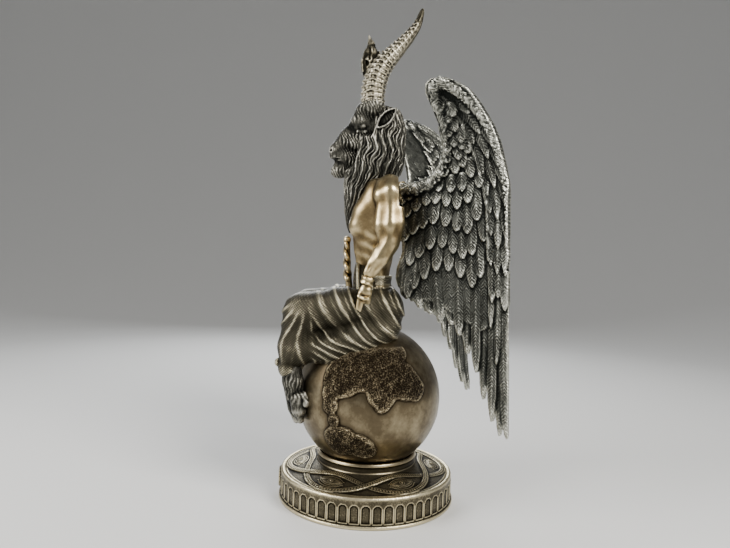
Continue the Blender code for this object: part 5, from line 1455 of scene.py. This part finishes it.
def build_plinth_wall():
    columns = WALL_COLUMNS
    foot = PLINTH_RADIUS - FLANGE_EDGE
    profile = [(foot, 0.0), (PLINTH_RADIUS, FLANGE_EDGE), (PLINTH_RADIUS, FLANGE_HEIGHT - FLANGE_EDGE),
               (PLINTH_RADIUS - 0.0005, FLANGE_HEIGHT)]
    for level in np.linspace(FLANGE_HEIGHT + FLANGE_SLOPE, PLINTH_HEIGHT - RIM_ROUND, ARCADE_ROWS):
        profile.append((WALL_RADIUS, level))
    for number in range(1, 9):
        turn = math.pi / 2 * number / 8
        profile.append((WALL_RADIUS - RIM_ROUND * (1 - math.cos(turn)),
                        PLINTH_HEIGHT - RIM_ROUND * (1 - math.sin(turn))))
    profile += [(GROUND_RADIUS + 0.0006, PLINTH_HEIGHT - 0.0001),
                (GROUND_RADIUS, PLINTH_HEIGHT - GROUND_SINK)]
    angle = turns(columns)
    carved = []
    for radius, level in profile:
        relief = np.zeros(columns)
        if radius == WALL_RADIUS:
            relief = arch_relief(angle * WALL_RADIUS, np.full(columns, level))
        if radius >= WALL_RADIUS - RIM_ROUND * 0.5:
            front = (angle - 1.5 * math.pi) * WALL_RADIUS
            bump = medallion_relief(front, level - MEDALLION_HEIGHT) if level > FLANGE_HEIGHT else 0 * front
            relief = np.maximum(relief, np.where(bump > 0, bump, relief))
        carved.append((radius + relief, level))
    faces = grid_faces(len(profile), columns)
    make_piece("plinth_wall", turned(carved, columns), faces, STONE, ("plinth",), reach=0.35)
    count = UNDERSIDE_COLUMNS
    points = np.concatenate([turned(((foot, 0.0), (foot / 2, 0.0)), count), [(0, 0, 0)]])
    ring = np.array([(i, count + i, count + (i + 1) % count, (i + 1) % count) for i in range(count)])
    fan = np.array([(count + i, 2 * count, count + (i + 2) % count, count + (i + 1) % count)
                    for i in range(0, count, 2)])
    make_piece("underside", points, np.concatenate([ring, fan]), STONE, reach=0.5)


STRAP_EDGE = 0.0007
BORDER_INSET = 0.0005
BORDER_HALF = 0.00035
BORDER_RAISED = 0.00035
BEAD_PITCH = 0.0021
BEAD_RADIUS = 0.0009
BEAD_RAISED = 0.0004
LAP_STRETCH = 1.12


def strap_relief(radius, angle, phase):
    """Height of one strand: a strap with raised borders and a row of beads."""
    turn = EYE_COUNT / 2 * angle + phase
    line = KNOT_RADIUS + KNOT_SWING * np.cos(turn)
    slope = -KNOT_SWING * EYE_COUNT / 2 * np.sin(turn) / KNOT_RADIUS
    off = (radius - line) / np.sqrt(1 + slope ** 2)
    half = STRAP_WIDTH / 2
    body = smooth_edge(np.abs(off) - half, STRAP_EDGE)
    border = hump(np.abs(off) - half + BORDER_INSET, BORDER_HALF)
    lap = angle * KNOT_RADIUS * LAP_STRETCH
    along = (lap / BEAD_PITCH - np.round(lap / BEAD_PITCH)) * BEAD_PITCH
    bead = np.sqrt(np.clip(1 - (off / BEAD_RADIUS) ** 2 - (along / BEAD_RADIUS) ** 2, 0, 1))
    over = KNOT_LIFT * np.sin(turn)
    return body * (0.55 * STRAP_HEIGHT + over) + body * (BORDER_RAISED * border + BEAD_RAISED * bead)


LID_RAISED = 0.0006
LID_HALF = 0.0005
BALL_RAISED = 0.0007
IRIS_RAISED = 0.00045
IRIS_RADIUS, IRIS_INNER, PUPIL_RADIUS = 0.0021, 0.0015, 0.0008


def eye_relief(radius, angle):
    """Height of the lidded eyes in the cells of the knotwork."""
    step_angle = 2 * math.pi / EYE_COUNT
    number = np.floor(angle / step_angle)
    along = (angle - (number + 0.5) * step_angle) * KNOT_RADIUS
    up = radius - KNOT_RADIUS
    length, width = EYE_LENGTH / 2, EYE_WIDTH / 2
    almond = np.abs(up) - width * np.clip(1 - (along / length) ** 2, 0, 1) ** 0.8
    almond = np.where(np.abs(along) > length, np.maximum(almond, np.abs(along) - length), almond)
    lid = hump(almond + 0.0002, LID_HALF)
    lid = lid + 0.7 * hump(almond - 0.0016, LID_HALF)
    ball = smooth_edge(almond + 0.0009, WIDE_EDGE) * BALL_RAISED
    iris = np.hypot(along, up)
    ring = smooth_edge(iris - IRIS_RADIUS, SOFT_EDGE) - 1.1 * smooth_edge(iris - IRIS_INNER, SOFT_EDGE)
    pupil = smooth_edge(iris - PUPIL_RADIUS, SOFT_EDGE)
    lid = lid * smooth_edge(np.abs(along) - length * 1.12, 0.001)
    return LID_RAISED * lid + ball + IRIS_RAISED * ring + BALL_RAISED * pupil * ball / BALL_RAISED


TOP_COLUMNS, TOP_ROWS = 780, 46
RIM_BEAD, RIM_BEAD_HALF, RIM_BEAD_INSET = 0.0004, 0.0005, 0.0012


def build_plinth_top():
    columns, rows = TOP_COLUMNS, TOP_ROWS
    radii = np.linspace(GROUND_RADIUS, COLLAR_RADIUS + COLLAR_FLARE * 0.5, rows)
    radius, angle = np.meshgrid(radii, turns(columns), indexing="ij")
    base = np.vectorize(ground_height)(radii)[:, None] + 0 * angle
    one, two = (strap_relief(radius, angle, side * math.pi / 2) for side in BOTH)
    eyes = eye_relief(radius, angle)
    rim = RIM_BEAD * hump(radius - GROUND_RADIUS + RIM_BEAD_INSET, RIM_BEAD_HALF)
    height = base + np.maximum(np.maximum(one, two), np.maximum(eyes, rim))
    points = np.stack([radius * np.cos(angle), radius * np.sin(angle), height], 2).reshape(-1, 3)
    make_piece("plinth_top", points, grid_faces(rows, columns), STONE, reach=0.4)


COLLAR_COLUMNS = 240


def build_collar():
    """The ring that holds the globe, waisted, with a bead near its top and a smaller one at its foot."""
    profile = [(COLLAR_RADIUS + COLLAR_FLARE, COLLAR_FOOT - COLLAR_SINK)]
    for share in (number / 12 for number in range(13)):
        waist = 0.0007 * math.sin(math.pi * share)
        bead = 0.0009 * hump(share - 0.86, 0.07)
        bead += 0.0006 * hump(share - 0.05, 0.08)
        profile.append((COLLAR_RADIUS - waist - 0.0004 + bead,
                        COLLAR_FOOT + (COLLAR_HEIGHT - COLLAR_ROUND) * share))
    for number in range(1, 6):
        turn = math.pi / 2 * number / 5
        profile.append((COLLAR_RADIUS - 0.0004 - 1.4 * COLLAR_ROUND * (1 - math.cos(turn)),
                        COLLAR_TOP - COLLAR_ROUND * (1 - math.sin(turn))))
    profile.append((COLLAR_INNER, COLLAR_TOP))
    profile.append((COLLAR_INNER - 0.0006, COLLAR_TOP - 0.0012))
    faces = grid_faces(len(profile), COLLAR_COLUMNS)
    make_piece("collar_ring", turned(profile, COLLAR_COLUMNS), faces, RING, reach=0.6)


# Floor, lights and camera
CAMERA_PLACE = (0.4761, -0.0060, 0.1859)
CAMERA_DOWN = math.radians(1.35)
CAMERA_ROLL = math.radians(1.92)
FOCAL = 600.0
FRAME_WIDTH = 730
SENSOR = 36.0
FLOOR_FLAT = 1.0
FLOOR_CURVE = 1.4
FLOOR_BELOW = 0.0003
WALL_TOP = 2.6


def add_light(name, place, aim, size, power, colour):
    data = bpy.data.lights.new(name, "AREA")
    data.shape = "SQUARE"
    data.size = size
    data.energy = power
    data.color = colour
    obj = placed(name, data)
    obj.location = place
    toward = Vector(aim) - Vector(place)
    obj.rotation_euler = toward.to_track_quat("-Z", "Y").to_euler()


def set_stage():
    """A round pale floor that curves up into a low wall all round, so that no edge of it shows."""
    mesh = bpy.data.meshes.new("floor")
    columns = 96
    profile = [(radius, 0.0) for radius in (0.001, 0.25, 0.6, FLOOR_FLAT)]
    for number in range(1, 17):
        turn = math.pi / 2 * number / 16
        profile.append((FLOOR_FLAT + FLOOR_CURVE * math.sin(turn), FLOOR_CURVE * (1 - math.cos(turn))))
    profile.append((FLOOR_FLAT + FLOOR_CURVE, WALL_TOP))
    faces = grid_faces(len(profile), columns)[:, ::-1]
    mesh.from_pydata(turned(profile, columns).tolist(), [], faces.tolist())
    mesh.shade_smooth()
    floor = placed("floor", mesh)
    floor.location = (0, 0, -FLOOR_BELOW)
    pale = bpy.data.materials.new("pale_floor")
    pale.use_nodes = True
    shader = pale.node_tree.nodes["Principled BSDF"].inputs
    shader["Base Color"].default_value = (0.58, 0.58, 0.57, 1)
    shader["Roughness"].default_value = 0.9
    mesh.materials.append(pale)
    world = bpy.data.worlds.new("soft_room")
    world.use_nodes = True
    sky = world.node_tree.nodes["Background"].inputs
    sky[0].default_value, sky[1].default_value = (0.80, 0.83, 0.88, 1), 0.30
    bpy.context.scene.world = world
    middle = (0, 0, 0.2)
    add_light("key", (0.55, 0.55, 0.75), middle, 0.45, 16.0, (1.0, 0.97, 0.92))
    add_light("front", (0.35, -0.75, 0.55), middle, 0.5, 11.0, (1.0, 0.98, 0.95))
    add_light("left_side", (-0.8, -0.1, 0.6), middle, 0.6, 8.0, (0.94, 0.97, 1.0))
    camera_data = bpy.data.cameras.new("camera")
    camera_data.sensor_width = SENSOR
    camera_data.lens = SENSOR * FOCAL / FRAME_WIDTH
    camera_data.clip_start, camera_data.clip_end = 0.01, 50
    camera = placed("camera", camera_data)
    back = Vector((math.cos(CAMERA_DOWN), 0, math.sin(CAMERA_DOWN)))
    right = Vector((0, 1, 0))
    up = back.cross(right)
    turn = Matrix((right, up, back)).transposed() @ Matrix.Rotation(CAMERA_ROLL, 3, "Z")
    camera.matrix_world = Matrix.Translation(CAMERA_PLACE) @ turn.to_4x4()
    bpy.context.scene.camera = camera


set_stage()
build_plinth_wall()
build_plinth_top()
build_collar()
build_globe()
build_figure()
build_wings()
